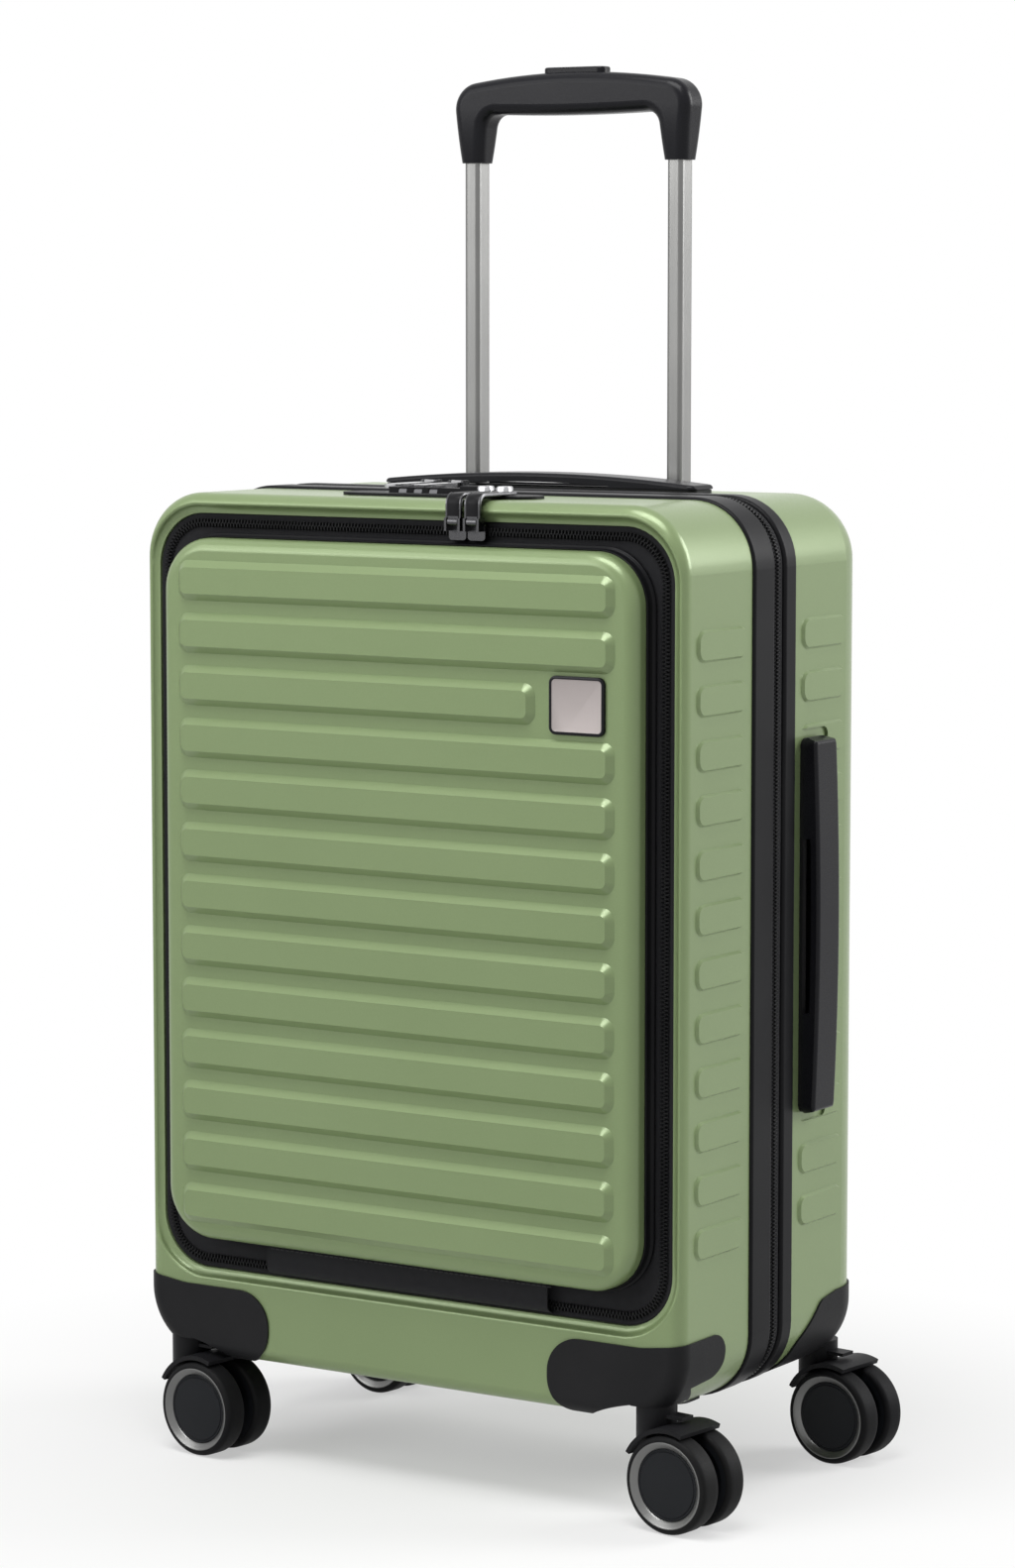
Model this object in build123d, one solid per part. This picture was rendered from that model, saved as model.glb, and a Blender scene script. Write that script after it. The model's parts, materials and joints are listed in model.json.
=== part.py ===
from build123d import *
import math
import os

# Hard shell cabin suitcase on four swivelling twin casters.
# Millimetres. +X is the right side seen from the front, the front faces -Y, +Z is up.
# The origin is on the floor under the middle of the case.

# Case outline seen from the front
CASE_WIDTH = 349.0
CASE_BOTTOM = 56.2
CASE_TOP = 540.2
CASE_CORNER = 36.0
WALL = 3.0

# Case depths along Y
RIM_Y = -93.0
FRONT_END_Y = -22.0
ZIP_FRONT_Y = 0.0
PARTING_Y = 5.5
ZIP_REAR_Y = 11.0
REAR_START_Y = 23.7
BACK_Y = 109.0
RIM_ROUND = 8.0
RIM_CREST = 1.5
BACK_ROUND = 28.0

# Band between the two halves
PARTING_GAP = 0.3
PIPING_PROUD = 1.6
PIPING_DEPTH = 3.0
PIPING_ROUND = 2.0
TAPE_SUNK = 0.6
TAPE_THICK = 2.0
COIL_PROUD = 0.6
COIL_WIDTH = 2.0
HINGE_HALF_LENGTH = 200.0

# Front door
DOOR_WIDTH = 306.0
DOOR_BOTTOM = 125.2
DOOR_TOP = 516.0
DOOR_CORNER = 29.0
DOOR_FACE_Y = -106.0
DOOR_BACK_Y = -87.5
DOOR_WALL = 3.0
DOOR_ROUND = 7.0
RIB_COUNT = 13
RIB_PITCH = 28.9
RIB_HEIGHT = 22.2
RIB_FIRST_Z = 481.8
RIB_HALF_LENGTH = 141.0
RIB_PROUD = 3.5
RIB_TAPER = 48.0
RIB_END_ROUND = 7.0
SHORT_RIB = 2
SHORT_RIB_END_X = 92.0
BADGE_X = 118.3
BADGE_Z = 435.6
BADGE_WIDTH = 34.0
BADGE_HEIGHT = 31.0
BADGE_THICK = 2.0
BADGE_ROUND = 4.0
BADGE_BEVEL = 0.5

# Frame round the door
OPENING_WIDTH = 333.2
OPENING_BOTTOM = 105.5
OPENING_TOP = 529.2
OPENING_CORNER = 30.0
LEDGE_Y = -86.0
COVE_RADIUS = 4.5
MOUTH_INSET = 9.5
DOOR_ZIP_INSET = 5.6
DOOR_ZIP_GAP = 0.15
DOOR_TAPE_THICK = 1.2
DOOR_TAPE_INSET = 4.0
DOOR_TAPE_EDGE = 0.4
DOOR_COIL_WIDTH = 2.2
DOOR_COIL_PROUD = 1.5
DOOR_AXIS_Y = -93.5
DOOR_AXIS_Z = 110.5
DOOR_STRIP_HALF = 92.0
DOOR_STRIP_THICK = 1.2
DOOR_STRIP_GAP = 0.9
DOOR_STRIP_FOOT = 0.6
POCKET_INSET = 13.0
POCKET_BACK_Y = -50.0
POCKET_WALL = 1.2
POCKET_FLANGE_INSET = 6.0

# Embossed rows on the sides and the back
ROW_COUNT = 12
ROW_PITCH = 28.75
ROW_TOP_Z = 475.4
ROW_HEIGHT = 17.0
ROW_PROUD = 1.5
ROW_END_ROUND = 6.5
ROW_TAPER = 40.0
ROW_FRONT_Y0 = -79.5
ROW_FRONT_Y1 = -28.3
ROW_REAR_Y0 = 31.6
ROW_REAR_Y1 = 79.5
ROW_BACK_HALF = 138.0
ROW_KEEP_OFF = 4.5

# Carry handles, sunk in the rear half
HANDLE_LENGTH = 206.0
HANDLE_WIDTH = 24.0
HANDLE_CORNER = 5.0
HANDLE_EDGE = 2.0
HANDLE_THICK = 5.0
HANDLE_END_LEAN = 2.0
HANDLE_PLATE = 2.0
HANDLE_PLATE_INSET = 0.5
HANDLE_HOLE_HALF = 89.0
HANDLE_HOLE_WIDTH = 19.0
HANDLE_HOLE_CLEAR = 0.2
HANDLE_GAP_HALF = 48.0
HANDLE_TRAY_HALF = 52.0
HANDLE_TRAY_DEPTH = 18.0
HANDLE_TRAY_WALL = 1.8
HANDLE_LEG_AT = 78.0
HANDLE_LEG = (16.0, 9.0, 13.0)
HANDLE_LEG_CLEAR = 0.35
TOP_HANDLE_Y = 50.0
TOP_HANDLE_CROWN = 9.6
TOP_HANDLE_END = 4.6
SIDE_HANDLE_Y = 42.4
SIDE_HANDLE_Z = 308.0
SIDE_HANDLE_CROWN = 12.5
SIDE_HANDLE_END = 10.0

# Trolley tubes, width and depth of the innermost pair
TUBE_X = 67.2
TUBE_Y = 82.0
INNER_TUBE = (10.0, 13.0)
TUBE_WALL = 1.2
TUBE_STEP = 1.6
TUBE_ROUND = 2.6
TUBE_GUIDE = 0.4
TUBE_FIT = 0.02
OUTER_TUBE_BOTTOM = 67.7
OUTER_TUBE_TOP = 512.2
MIDDLE_TUBE_BOTTOM = 77.7
MIDDLE_TUBE_TOP = 516.7
INNER_TUBE_BOTTOM = 294.0
INNER_TUBE_TOP = 744.0
FOOT_MARGIN = (4.0, 2.5)
FOOT_UNDER = 4.0
FOOT_HEIGHT = 16.0
FOOT_ROUND = 3.0

# Trolley grip
GRIP_BOTTOM = 723.2
GRIP_FOOT = (15.0, 16.5)
GRIP_SHOULDER_X = 79.0
GRIP_SHOULDER_Z = 766.0
GRIP_TOP = 773.0
GRIP_LOOP_HALF = 56.5
GRIP_ARCH = 750.5
GRIP_BELLY = 749.2
GRIP_DEPTH = 21.0
GRIP_SWELL_Z = 754.0
GRIP_CORNER = 15.0
GRIP_LOOP_CORNER = 8.0
GRIP_ROUND = 6.0
BUTTON_LENGTH = 40.0
BUTTON_WIDTH = 11.0
BUTTON_CORNER = 4.0
BUTTON_PROUD = 2.8
BUTTON_ROUND = 1.2
BUTTON_CLEAR = 0.35
BUTTON_POCKET_Z = 755.0
LOCK_BAR_Z = 757.4
LOCK_BAR = (6.0, 3.0)
LOCK_BAR_ROOM = 1.5
LOCK_BAR_TRAVEL = 5.0
LOCK_ROD_RADIUS = 1.8
LOCK_ROD_ROOM = 0.6
BEZEL_LENGTH = 168.0
BEZEL_WIDTH = 28.0
BEZEL_CORNER = 12.0
BEZEL_FLOOR_Z = 514.2
BEZEL_WALL = 2.0
BEZEL_PROUD = 1.6

# Lock on the top of the front half
LOCK_X = 2.0
LOCK_Y = -58.0
LOCK_LENGTH = 125.0
LOCK_WIDTH = 28.0
LOCK_PLATE = 1.6
LOCK_BOX_LENGTH = 104.0
LOCK_BOX_WIDTH = 25.0
LOCK_BOX_DEPTH = 13.0
LOCK_RIDGE_LENGTH = 74.0
LOCK_RIDGE_WIDTH = 11.0
LOCK_RIDGE_ROUND = 4.0
LOCK_RIDGE_Y = -53.0
LOCK_RIDGE_TOP = 544.8
DIAL_X = (-24.0, -14.0, -4.0)
DIAL_FACES = 10
DIAL_RADIUS = 6.2
DIAL_WIDTH = 5.0
DIAL_PROUD = 1.4
DIAL_ROOM = 0.6
DIAL_SIDE_ROOM = 0.3
DIAL_WINDOW = 10.0
DIAL_AXLE = 1.5
DIAL_AXLE_OVER = 9.0
LOCK_BUTTON_X = 18.0
LOCK_BUTTON_SIZE = (12.0, 7.0, 6.0)
LOCK_BUTTON_PROUD = 1.4
LOCK_BUTTON_ROUND = 0.8
LOCK_BUTTON_TRAVEL = 4.0

# Zip sliders and pulls
SLIDER_LENGTH = 11.0
SLIDER_WIDTH = 9.0
SLIDER_HEIGHT = 3.4
SLIDER_ROUND = 2.0
SLIDER_CLEAR = 0.4
PIN_RADIUS = 1.0
EYE_RADIUS = 2.1
EYE_LENGTH = 6.6
EAR_GAP = 0.3
EAR_THICK = 1.4
EAR_ROOT = 0.5
PULL_THICK = 2.2
PULL_WIDTH = 10.0
PULL_CORNER = 3.0
PULL_NECK = 5.0
MAIN_SLIDER_X = (-44.0, -26.0)
MAIN_PIN_Y = -1.4
MAIN_PIN_Z = 544.3
MAIN_PULL_LENGTH = 40.0
DOOR_SLIDER_X = (34.5, 46.5)
DOOR_PIN_Y = -96.2
DOOR_PIN_Z = 529.0
DOOR_PULL_TOP = 544.4
DOOR_PULL_TIP_Y = -61.0
DOOR_PULL_BEND = 5.0
DOOR_PULL_TAB = (8.0, 8.0, 2.6)

# Casters
CASTER_X = 153.4
CASTER_Y = {"front": -82.0, "rear": 94.0}
CASTER_YAW = -7.0
CASTER_TRAIL = 19.0
RUNNING_CLEAR = 0.05
SEAT_CLEAR = 0.02
WHEEL_RADIUS = 26.5
WHEEL_INNER = 4.4
WHEEL_OUTER = 17.9
TYRE_BORE = 23.4
TYRE_OUTER_ROUND = 2.6
TYRE_INNER_ROUND = 2.2
TRIM_BORE = 19.3
TRIM_LIP = 0.9
TRIM_SEAT = 3.2
CAP_SUNK = (2.4, 1.6)
HUB_RECESS = (9.0, 20.5, 4.0)
AXLE_RADIUS = 3.0
AXLE_HALF = 14.0
AXLE_END_GAP = 0.3
FENDER_INNER = 27.8
FENDER_OUTER = 30.3
FENDER_FROM = 70.0
FENDER_TO = 152.0
FENDER_HALF = 17.0
FORK_WEB = 7.6
FORK_WEB_TOP = 53.0
FORK_BOSS = 8.0
FORK_TAB = (20.5, 10.0, 1.8)
FORK_TAB_Z = 58.9
NECK_RADIUS = 11.0
NECK_BOTTOM = 38.0
NECK_TOP = 66.0
KINGPIN_RADIUS = 5.0
KINGPIN_BOTTOM = 54.0
KINGPIN_TOP = 88.0
KINGPIN_GAP = 0.3

# Wheel housings on the bottom corners, outlines as (across, z, corner radius)
HOUSING_PROUD = 1.2
HOUSING_WALL = 5.0
HOUSING_BOSS = 15.0
HOUSING_BOSS_TOP = 92.0
HOUSING_BOSS_LAND = 3.0
HOUSING_FLOOR_TOP = 74.0
COLLAR_BOTTOM = 64.6
COLLAR_CLEAR = 0.6
ARCH_TOP = 67.0
ARCH_RADIUS = 36.0
ARCH_EDGE_Z = 56.0
ARCH_LAND = 2.0
ARCH_FLOOR_TOP = 69.0
ARCH_SIDE = 4.0
WRAP_INWARD = {"front": 10.5, "rear": 34.0}
HOUSING_FRONT_OUTLINE = [(197, 102.5, 0), (150, 96.2, 40), (92, 96.2, 19.5), (92, 54.5, 19.5), (197, 54.5, 0)]
HOUSING_SIDE_OUTLINE = {
    "front": [(-87, 99.6, 0), (-48, 99.6, 11), (-48, 76, 11), (-87, 72.6, 0)],
    "rear": [(129, 101, 0), (75, 99.6, 0), (58, 97, 12), (35, 76, 10), (29, 40, 0), (129, 40, 0)],
}

OPENING_MID_Z = (OPENING_TOP + OPENING_BOTTOM) / 2
OPENING_HEIGHT = OPENING_TOP - OPENING_BOTTOM
CASE_MID_Z = (CASE_TOP + CASE_BOTTOM) / 2
CASE_HEIGHT = CASE_TOP - CASE_BOTTOM
HALF_WIDTH = CASE_WIDTH / 2
DOOR_MID_Z = (DOOR_TOP + DOOR_BOTTOM) / 2
DOOR_HEIGHT = DOOR_TOP - DOOR_BOTTOM
DIAL_Z = LOCK_RIDGE_TOP + DIAL_PROUD - DIAL_RADIUS
ON_FLOOR = (Align.CENTER, Align.CENTER, Align.MIN)
FAR = 300.0
OVER = 1.0


# Planes and prisms
def front_plane(y):
    return Plane(origin=(0, y, 0), x_dir=(1, 0, 0), z_dir=(0, -1, 0))


def side_plane(x):
    return Plane(origin=(x, 0, 0), x_dir=(0, 1, 0), z_dir=(1, 0, 0))


def along_y(profile, y0, y1):
    """Prism of an (x, z) profile between two depths."""
    return extrude(front_plane(y1) * profile, amount=y1 - y0)


def along_x(profile, x0, x1):
    """Prism of a (y, z) profile between two sides."""
    return extrude(side_plane(x0) * profile, amount=x1 - x0)


def along_z(profile, z0, z1):
    """Prism of an (x, y) profile between two heights."""
    return extrude(Plane.XY.offset(z0) * profile, amount=z1 - z0)


def block(x0, x1, y0, y1, z0, z1):
    size = Box(x1 - x0, y1 - y0, z1 - z0)
    return Pos((x0 + x1) / 2, (y0 + y1) / 2, (z0 + z1) / 2) * size


def post(radius, z0, z1):
    return Pos(0, 0, z0) * Cylinder(radius, z1 - z0, align=ON_FLOOR)


def polygon(points):
    return make_face(Polyline(*points, close=True))


def rounded_polygon(corners):
    """Polygon of (across, up, corner radius) points."""
    face = polygon([(across, up) for across, up, radius in corners])
    for across, up, radius in corners:
        if radius > 0:
            corner = [v for v in face.vertices() if math.hypot(v.X - across, v.Y - up) < 0.01]
            face = fillet(corner, radius)
    return face


def case_outline(grow):
    size = (CASE_WIDTH + 2 * grow, CASE_HEIGHT + 2 * grow)
    return Pos(0, CASE_MID_Z) * RectangleRounded(*size, CASE_CORNER + grow)


def door_outline(grow):
    size = (DOOR_WIDTH + 2 * grow, DOOR_HEIGHT + 2 * grow)
    return Pos(0, DOOR_MID_Z) * RectangleRounded(*size, DOOR_CORNER + grow)


def opening_outline(grow):
    size = (OPENING_WIDTH + 2 * grow, OPENING_HEIGHT + 2 * grow)
    return Pos(0, OPENING_MID_Z) * RectangleRounded(*size, OPENING_CORNER + grow)


def case_ring(outer, inner, y0, y1):
    return along_y(case_outline(outer) - case_outline(inner), y0, y1)


def opening_ring(outer, inner, y0, y1):
    return along_y(opening_outline(outer) - opening_outline(inner), y0, y1)


def off_outline(point, mid_z, width, height, corner):
    """Distance of a point outside a rounded rectangle seen from the front."""
    dx = abs(point.X) - width / 2 + corner
    dz = abs(point.Z - mid_z) - height / 2 + corner
    if dx > 0 and dz > 0:
        return math.hypot(dx, dz) - corner
    return max(dx, dz) - corner


def front_face_edges(solid):
    return solid.faces().sort_by(Axis.Y)[0].edges()


def back_face_edges(solid):
    return solid.faces().sort_by(Axis.Y)[-1].edges()


def top_face_edges(solid):
    return solid.faces().sort_by(Axis.Z)[-1].edges()


def mirror_x(shape):
    return mirror(shape, about=Plane.YZ)


# Embossed rows
def row_middle(index):
    return ROW_TOP_Z - ROW_HEIGHT / 2 - index * ROW_PITCH


def raised_patch(place, length):
    patch = RectangleRounded(length, ROW_HEIGHT, ROW_END_ROUND)
    return extrude(place * patch, amount=ROW_PROUD, taper=ROW_TAPER)


def side_rows(y0, y1):
    """Raised patches down both sides, between two depths."""
    rows = []
    for index in range(ROW_COUNT):
        place = side_plane(HALF_WIDTH) * Pos((y0 + y1) / 2, row_middle(index))
        rows.append(raised_patch(place, y1 - y0))
    return rows + [mirror_x(row) for row in rows]


def back_rows():
    """Raised patches down the back."""
    back = Plane(origin=(0, BACK_Y, 0), x_dir=(-1, 0, 0), z_dir=(0, 1, 0))
    return [raised_patch(back * Pos(0, row_middle(index)), 2 * ROW_BACK_HALF) for index in range(ROW_COUNT)]


# The two half shells
def front_outer(grow):
    solid = along_y(case_outline(grow), RIM_Y - grow, FRONT_END_Y)
    return fillet(front_face_edges(solid), RIM_ROUND + grow)


def rear_outer(grow):
    solid = along_y(case_outline(grow), REAR_START_Y, BACK_Y + grow)
    return fillet(back_face_edges(solid), BACK_ROUND + grow)


def cove_cut():
    """Hollow quarter round between the rim and the zip ledge."""
    sections = []
    for angle in (0, 30, 60, 90):
        grow = COVE_RADIUS * math.cos(math.radians(angle))
        y = RIM_Y + COVE_RADIUS * math.sin(math.radians(angle))
        sections.append(front_plane(y) * opening_outline(grow))
    mouth = along_y(opening_outline(COVE_RADIUS), RIM_Y - OVER, RIM_Y)
    return loft(sections) + mouth + along_y(opening_outline(0), RIM_Y, LEDGE_Y)


def is_crest(edge):
    """True for the edge where the hollow meets the rounded rim."""
    grow = 2 * COVE_RADIUS
    middle = edge @ 0.5
    corner = OPENING_CORNER + COVE_RADIUS
    off = off_outline(middle, OPENING_MID_Z, OPENING_WIDTH + grow, OPENING_HEIGHT + grow, corner)
    level = edge.bounding_box().size.Y < COVE_RADIUS / 2
    return abs(off) < 0.5 and middle.Y < RIM_Y + COVE_RADIUS / 2 and level


def front_shell():
    shell = front_outer(0) - cove_cut()
    shell = fillet(shell.edges().filter_by(is_crest), RIM_CREST)
    shell -= along_y(case_outline(-WALL), LEDGE_Y + WALL, FRONT_END_Y + OVER)
    shell -= along_y(opening_outline(-MOUTH_INSET), RIM_Y, LEDGE_Y + WALL + OVER)
    shell = shell + side_rows(ROW_FRONT_Y0, ROW_FRONT_Y1)
    shell -= lock_box(CASE_TOP - 2 * WALL, CASE_TOP + OVER)
    for side in (1, -1):
        shell -= housing_region("front", side)
    return shell


def rear_shell():
    cavity = along_y(case_outline(-WALL), REAR_START_Y - OVER, BACK_Y - WALL)
    cavity = fillet(back_face_edges(cavity), BACK_ROUND - WALL)
    outer = rear_outer(0)
    keep_off = handle_slot(HANDLE_LENGTH / 2 + ROW_KEEP_OFF, HANDLE_WIDTH + 2 * ROW_KEEP_OFF, -OVER,
                           ROW_PROUD + OVER)
    shell = outer + side_rows(ROW_REAR_Y0, ROW_REAR_Y1) + back_rows()
    shell -= at_side(keep_off) - outer
    shell -= cavity
    hole = handle_slot(HANDLE_HOLE_HALF, HANDLE_HOLE_WIDTH, -2 * WALL, ROW_PROUD + OVER)
    shell -= at_side(hole)
    shell -= at_top(hole)
    shell -= bezel_block(0, BEZEL_FLOOR_Z, CASE_TOP + OVER)
    for side in (1, -1):
        shell -= housing_region("rear", side)
    return shell


# Band: piping and zip tapes
def piping(y0, y1):
    ring = case_ring(PIPING_PROUD, -PIPING_DEPTH, y0, y1)
    return fillet(ring.edges().filter_by(is_bead_edge), PIPING_ROUND)


def is_bead_edge(edge):
    """True for the outer edges of a piping ring, at its two ends."""
    grow = 2 * PIPING_PROUD
    corner = CASE_CORNER + PIPING_PROUD
    off = off_outline(edge @ 0.5, CASE_MID_Z, CASE_WIDTH + grow, CASE_HEIGHT + grow, corner)
    return abs(off) < 0.01 and edge.bounding_box().size.Y < 0.01


def hinge_window(y0, y1):
    return block(-HALF_WIDTH - CASE_CORNER, -HALF_WIDTH + CASE_CORNER, y0 - OVER, y1 + OVER,
                 CASE_MID_Z - HINGE_HALF_LENGTH, CASE_MID_Z + HINGE_HALF_LENGTH)


def main_zip(y0, y1, coil_y0, coil_y1):
    tape = case_ring(-TAPE_SUNK, -TAPE_SUNK - TAPE_THICK, y0, y1)
    coil = case_ring(COIL_PROUD, -TAPE_SUNK, coil_y0, coil_y1)
    return tape + coil - hinge_window(y0, y1)


def main_hinge(y0, y1):
    tape = case_ring(0, -TAPE_SUNK - TAPE_THICK, y0, y1)
    return tape & hinge_window(y0, y1)


# Front door
def door_rib(index):
    right = SHORT_RIB_END_X if index == SHORT_RIB else RIB_HALF_LENGTH
    length = right + RIB_HALF_LENGTH
    profile = RectangleRounded(length, RIB_HEIGHT, RIB_END_ROUND)
    z = RIB_FIRST_Z - index * RIB_PITCH + RIB_HEIGHT / 2
    place = front_plane(DOOR_FACE_Y) * Pos(right - length / 2, z)
    return extrude(place * profile, amount=RIB_PROUD, taper=RIB_TAPER)


def front_door():
    solid = along_y(door_outline(0), DOOR_FACE_Y, DOOR_BACK_Y)
    solid = fillet(front_face_edges(solid), DOOR_ROUND)
    cavity = along_y(door_outline(-DOOR_WALL), DOOR_FACE_Y + DOOR_WALL, DOOR_BACK_Y + OVER)
    cavity = fillet(front_face_edges(cavity), DOOR_ROUND - DOOR_WALL)
    return solid - cavity + [door_rib(index) for index in range(RIB_COUNT)]


def badge_plate():
    profile = Pos(BADGE_X, BADGE_Z) * RectangleRounded(BADGE_WIDTH, BADGE_HEIGHT, BADGE_ROUND)
    plate = along_y(profile, DOOR_FACE_Y - BADGE_THICK, DOOR_FACE_Y)
    return chamfer(front_face_edges(plate), BADGE_BEVEL)


def door_zip_panel():
    edge = -DOOR_ZIP_INSET - DOOR_ZIP_GAP
    ring = opening_outline(edge) - door_outline(-DOOR_TAPE_INSET)
    tape = along_y(ring, DOOR_BACK_Y, DOOR_BACK_Y + DOOR_TAPE_THICK)
    coil = opening_ring(edge, edge - DOOR_COIL_WIDTH, DOOR_BACK_Y - DOOR_COIL_PROUD, DOOR_BACK_Y)
    return tape + coil


def door_zip_frame():
    edge = -DOOR_ZIP_INSET + DOOR_ZIP_GAP
    front = LEDGE_Y - DOOR_TAPE_THICK
    tape = opening_ring(-DOOR_TAPE_EDGE, edge, front, LEDGE_Y)
    coil = opening_ring(edge + DOOR_COIL_WIDTH, edge, DOOR_BACK_Y - DOOR_COIL_PROUD, front)
    return tape + coil


def door_hinge_lower():
    """Fabric leaf that climbs from the zip ledge to the fold."""
    ledge = LEDGE_Y - DOOR_TAPE_THICK
    front = DOOR_AXIS_Y - DOOR_STRIP_THICK / 2
    top = DOOR_AXIS_Z - DOOR_STRIP_GAP
    low = OPENING_BOTTOM + DOOR_STRIP_FOOT
    thick = DOOR_STRIP_THICK
    foot = [(ledge, low + thick), (ledge, low), (ledge - thick, low)]
    leaf = polygon([(front, top), (front + thick, top)] + foot)
    return along_x(leaf, -DOOR_STRIP_HALF, DOOR_STRIP_HALF)


def door_hinge_upper():
    """Fabric leaf that hangs from the door to the fold."""
    front = DOOR_AXIS_Y - DOOR_STRIP_THICK / 2
    low = DOOR_AXIS_Z + DOOR_STRIP_GAP
    return block(-DOOR_STRIP_HALF, DOOR_STRIP_HALF, front, front + DOOR_STRIP_THICK, low, DOOR_BOTTOM)


def front_pocket():
    back = LEDGE_Y + WALL
    inner = -POCKET_INSET - POCKET_WALL
    tray = along_y(opening_outline(-POCKET_INSET), back, POCKET_BACK_Y)
    inside = along_y(opening_outline(inner), back - OVER, POCKET_BACK_Y - POCKET_WALL)
    flange = opening_ring(-POCKET_FLANGE_INSET, inner, back, back + POCKET_WALL)
    return tray - inside + flange


# Carry handles are drawn along X with the case surface at Z = 0
def at_side(shape):
    place = Plane(origin=(HALF_WIDTH, SIDE_HANDLE_Y, SIDE_HANDLE_Z), x_dir=(0, 0, 1), z_dir=(1, 0, 0))
    return place * shape


def at_top(shape):
    return Pos(0, TOP_HANDLE_Y, CASE_TOP) * shape


def handle_slot(half, width, z0, z1):
    return along_z(RectangleRounded(2 * half, width, HANDLE_CORNER), z0, z1)


def handle_base():
    inset = HANDLE_PLATE_INSET
    plate = handle_slot(HANDLE_LENGTH / 2 - inset, HANDLE_WIDTH - 2 * inset, 0, HANDLE_PLATE)
    width = HANDLE_HOLE_WIDTH - 2 * HANDLE_HOLE_CLEAR
    plug = handle_slot(HANDLE_HOLE_HALF - HANDLE_HOLE_CLEAR, width, -HANDLE_TRAY_DEPTH - HANDLE_TRAY_WALL, 0)
    top = HANDLE_PLATE + OVER
    tray = handle_slot(HANDLE_TRAY_HALF, width - 2 * HANDLE_TRAY_WALL, -HANDLE_TRAY_DEPTH, top)
    base = plate + plug - tray
    length, thick, depth = HANDLE_LEG
    room = 2 * HANDLE_LEG_CLEAR
    for side in (1, -1):
        socket = Rectangle(length + room, thick + room)
        base -= along_z(Pos(side * HANDLE_LEG_AT, 0) * socket, -depth - OVER, top)
    return base


def handle_grip(crown, end):
    """Bowed grip on two legs, with a finger gap cut up into its underside."""
    half = HANDLE_LENGTH / 2
    low = HANDLE_PLATE + HANDLE_LEG_CLEAR
    shoulder = half - HANDLE_END_LEAN
    gap = HANDLE_GAP_HALF
    roof = crown - HANDLE_THICK
    gap_end = roof - (crown - end) * (gap / shoulder) ** 2
    lines = [ThreePointArc((-shoulder, end), (0, crown), (shoulder, end))]
    lines += Polyline((shoulder, end), (half, low), (gap, low), (gap, gap_end)).edges()
    lines.append(ThreePointArc((gap, gap_end), (0, roof), (-gap, gap_end)))
    lines += Polyline((-gap, gap_end), (-gap, low), (-half, low), (-shoulder, end)).edges()
    bar = along_y(make_face(lines), -HANDLE_WIDTH / 2, HANDLE_WIDTH / 2)
    grip = bar & handle_slot(half, HANDLE_WIDTH, -OVER, crown + OVER)
    grip = fillet(top_face_edges(grip), HANDLE_EDGE)
    length, thick, depth = HANDLE_LEG
    for side in (1, -1):
        leg = Rectangle(length, thick)
        grip += along_z(Pos(side * HANDLE_LEG_AT, 0) * leg, -depth, low + OVER)
    return grip


# Trolley handle
def tube_size(step):
    return INNER_TUBE[0] + 2 * step * TUBE_STEP, INNER_TUBE[1] + 2 * step * TUBE_STEP


def tube_profile(step, inset):
    width, depth = tube_size(step)
    corner = TUBE_ROUND + (step * TUBE_STEP - inset) / 2
    return Pos(0, TUBE_Y) * RectangleRounded(width - 2 * inset, depth - 2 * inset, corner)


def tube_pair(step, z0, z1):
    tube = along_z(tube_profile(step, 0) - tube_profile(step, TUBE_WALL), z0, z1)
    return [Pos(side * TUBE_X, 0, 0) * tube for side in (1, -1)]


def bezel_block(inset, z0, z1):
    profile = RectangleRounded(BEZEL_LENGTH - 2 * inset, BEZEL_WIDTH - 2 * inset, BEZEL_CORNER - inset)
    return along_z(Pos(0, TUBE_Y) * profile, z0, z1)


def trolley_bezel():
    """Sunk cup that takes the feet of the grip when the handle is down."""
    top = CASE_TOP + BEZEL_PROUD
    body = bezel_block(0, BEZEL_FLOOR_Z - BEZEL_WALL, top)
    body -= bezel_block(BEZEL_WALL, BEZEL_FLOOR_Z, top + OVER)
    hole = along_z(tube_profile(1, -TUBE_GUIDE), BEZEL_FLOOR_Z - 2 * BEZEL_WALL, BEZEL_FLOOR_Z + OVER)
    for side in (1, -1):
        body -= Pos(side * TUBE_X, 0, 0) * hole
    return body


def trolley_foot():
    """Bracket that ties the fixed tubes together and stands on the floor of the case."""
    width, depth = tube_size(2)
    low = OUTER_TUBE_BOTTOM - FOOT_UNDER
    half_x = TUBE_X + width / 2 + FOOT_MARGIN[0]
    half_y = depth / 2 + FOOT_MARGIN[1]
    bar = block(-half_x, half_x, TUBE_Y - half_y, TUBE_Y + half_y, low, low + FOOT_HEIGHT)
    bar = fillet(bar.edges().filter_by(Axis.Z), FOOT_ROUND)
    bar += block(-TUBE_X, TUBE_X, TUBE_Y - half_y, BACK_Y - BACK_ROUND, CASE_BOTTOM + WALL, low)
    seat = along_z(tube_profile(2, -TUBE_FIT), OUTER_TUBE_BOTTOM, low + FOOT_HEIGHT + OVER)
    for side in (1, -1):
        bar -= Pos(side * TUBE_X, 0, 0) * seat
    return bar


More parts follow.
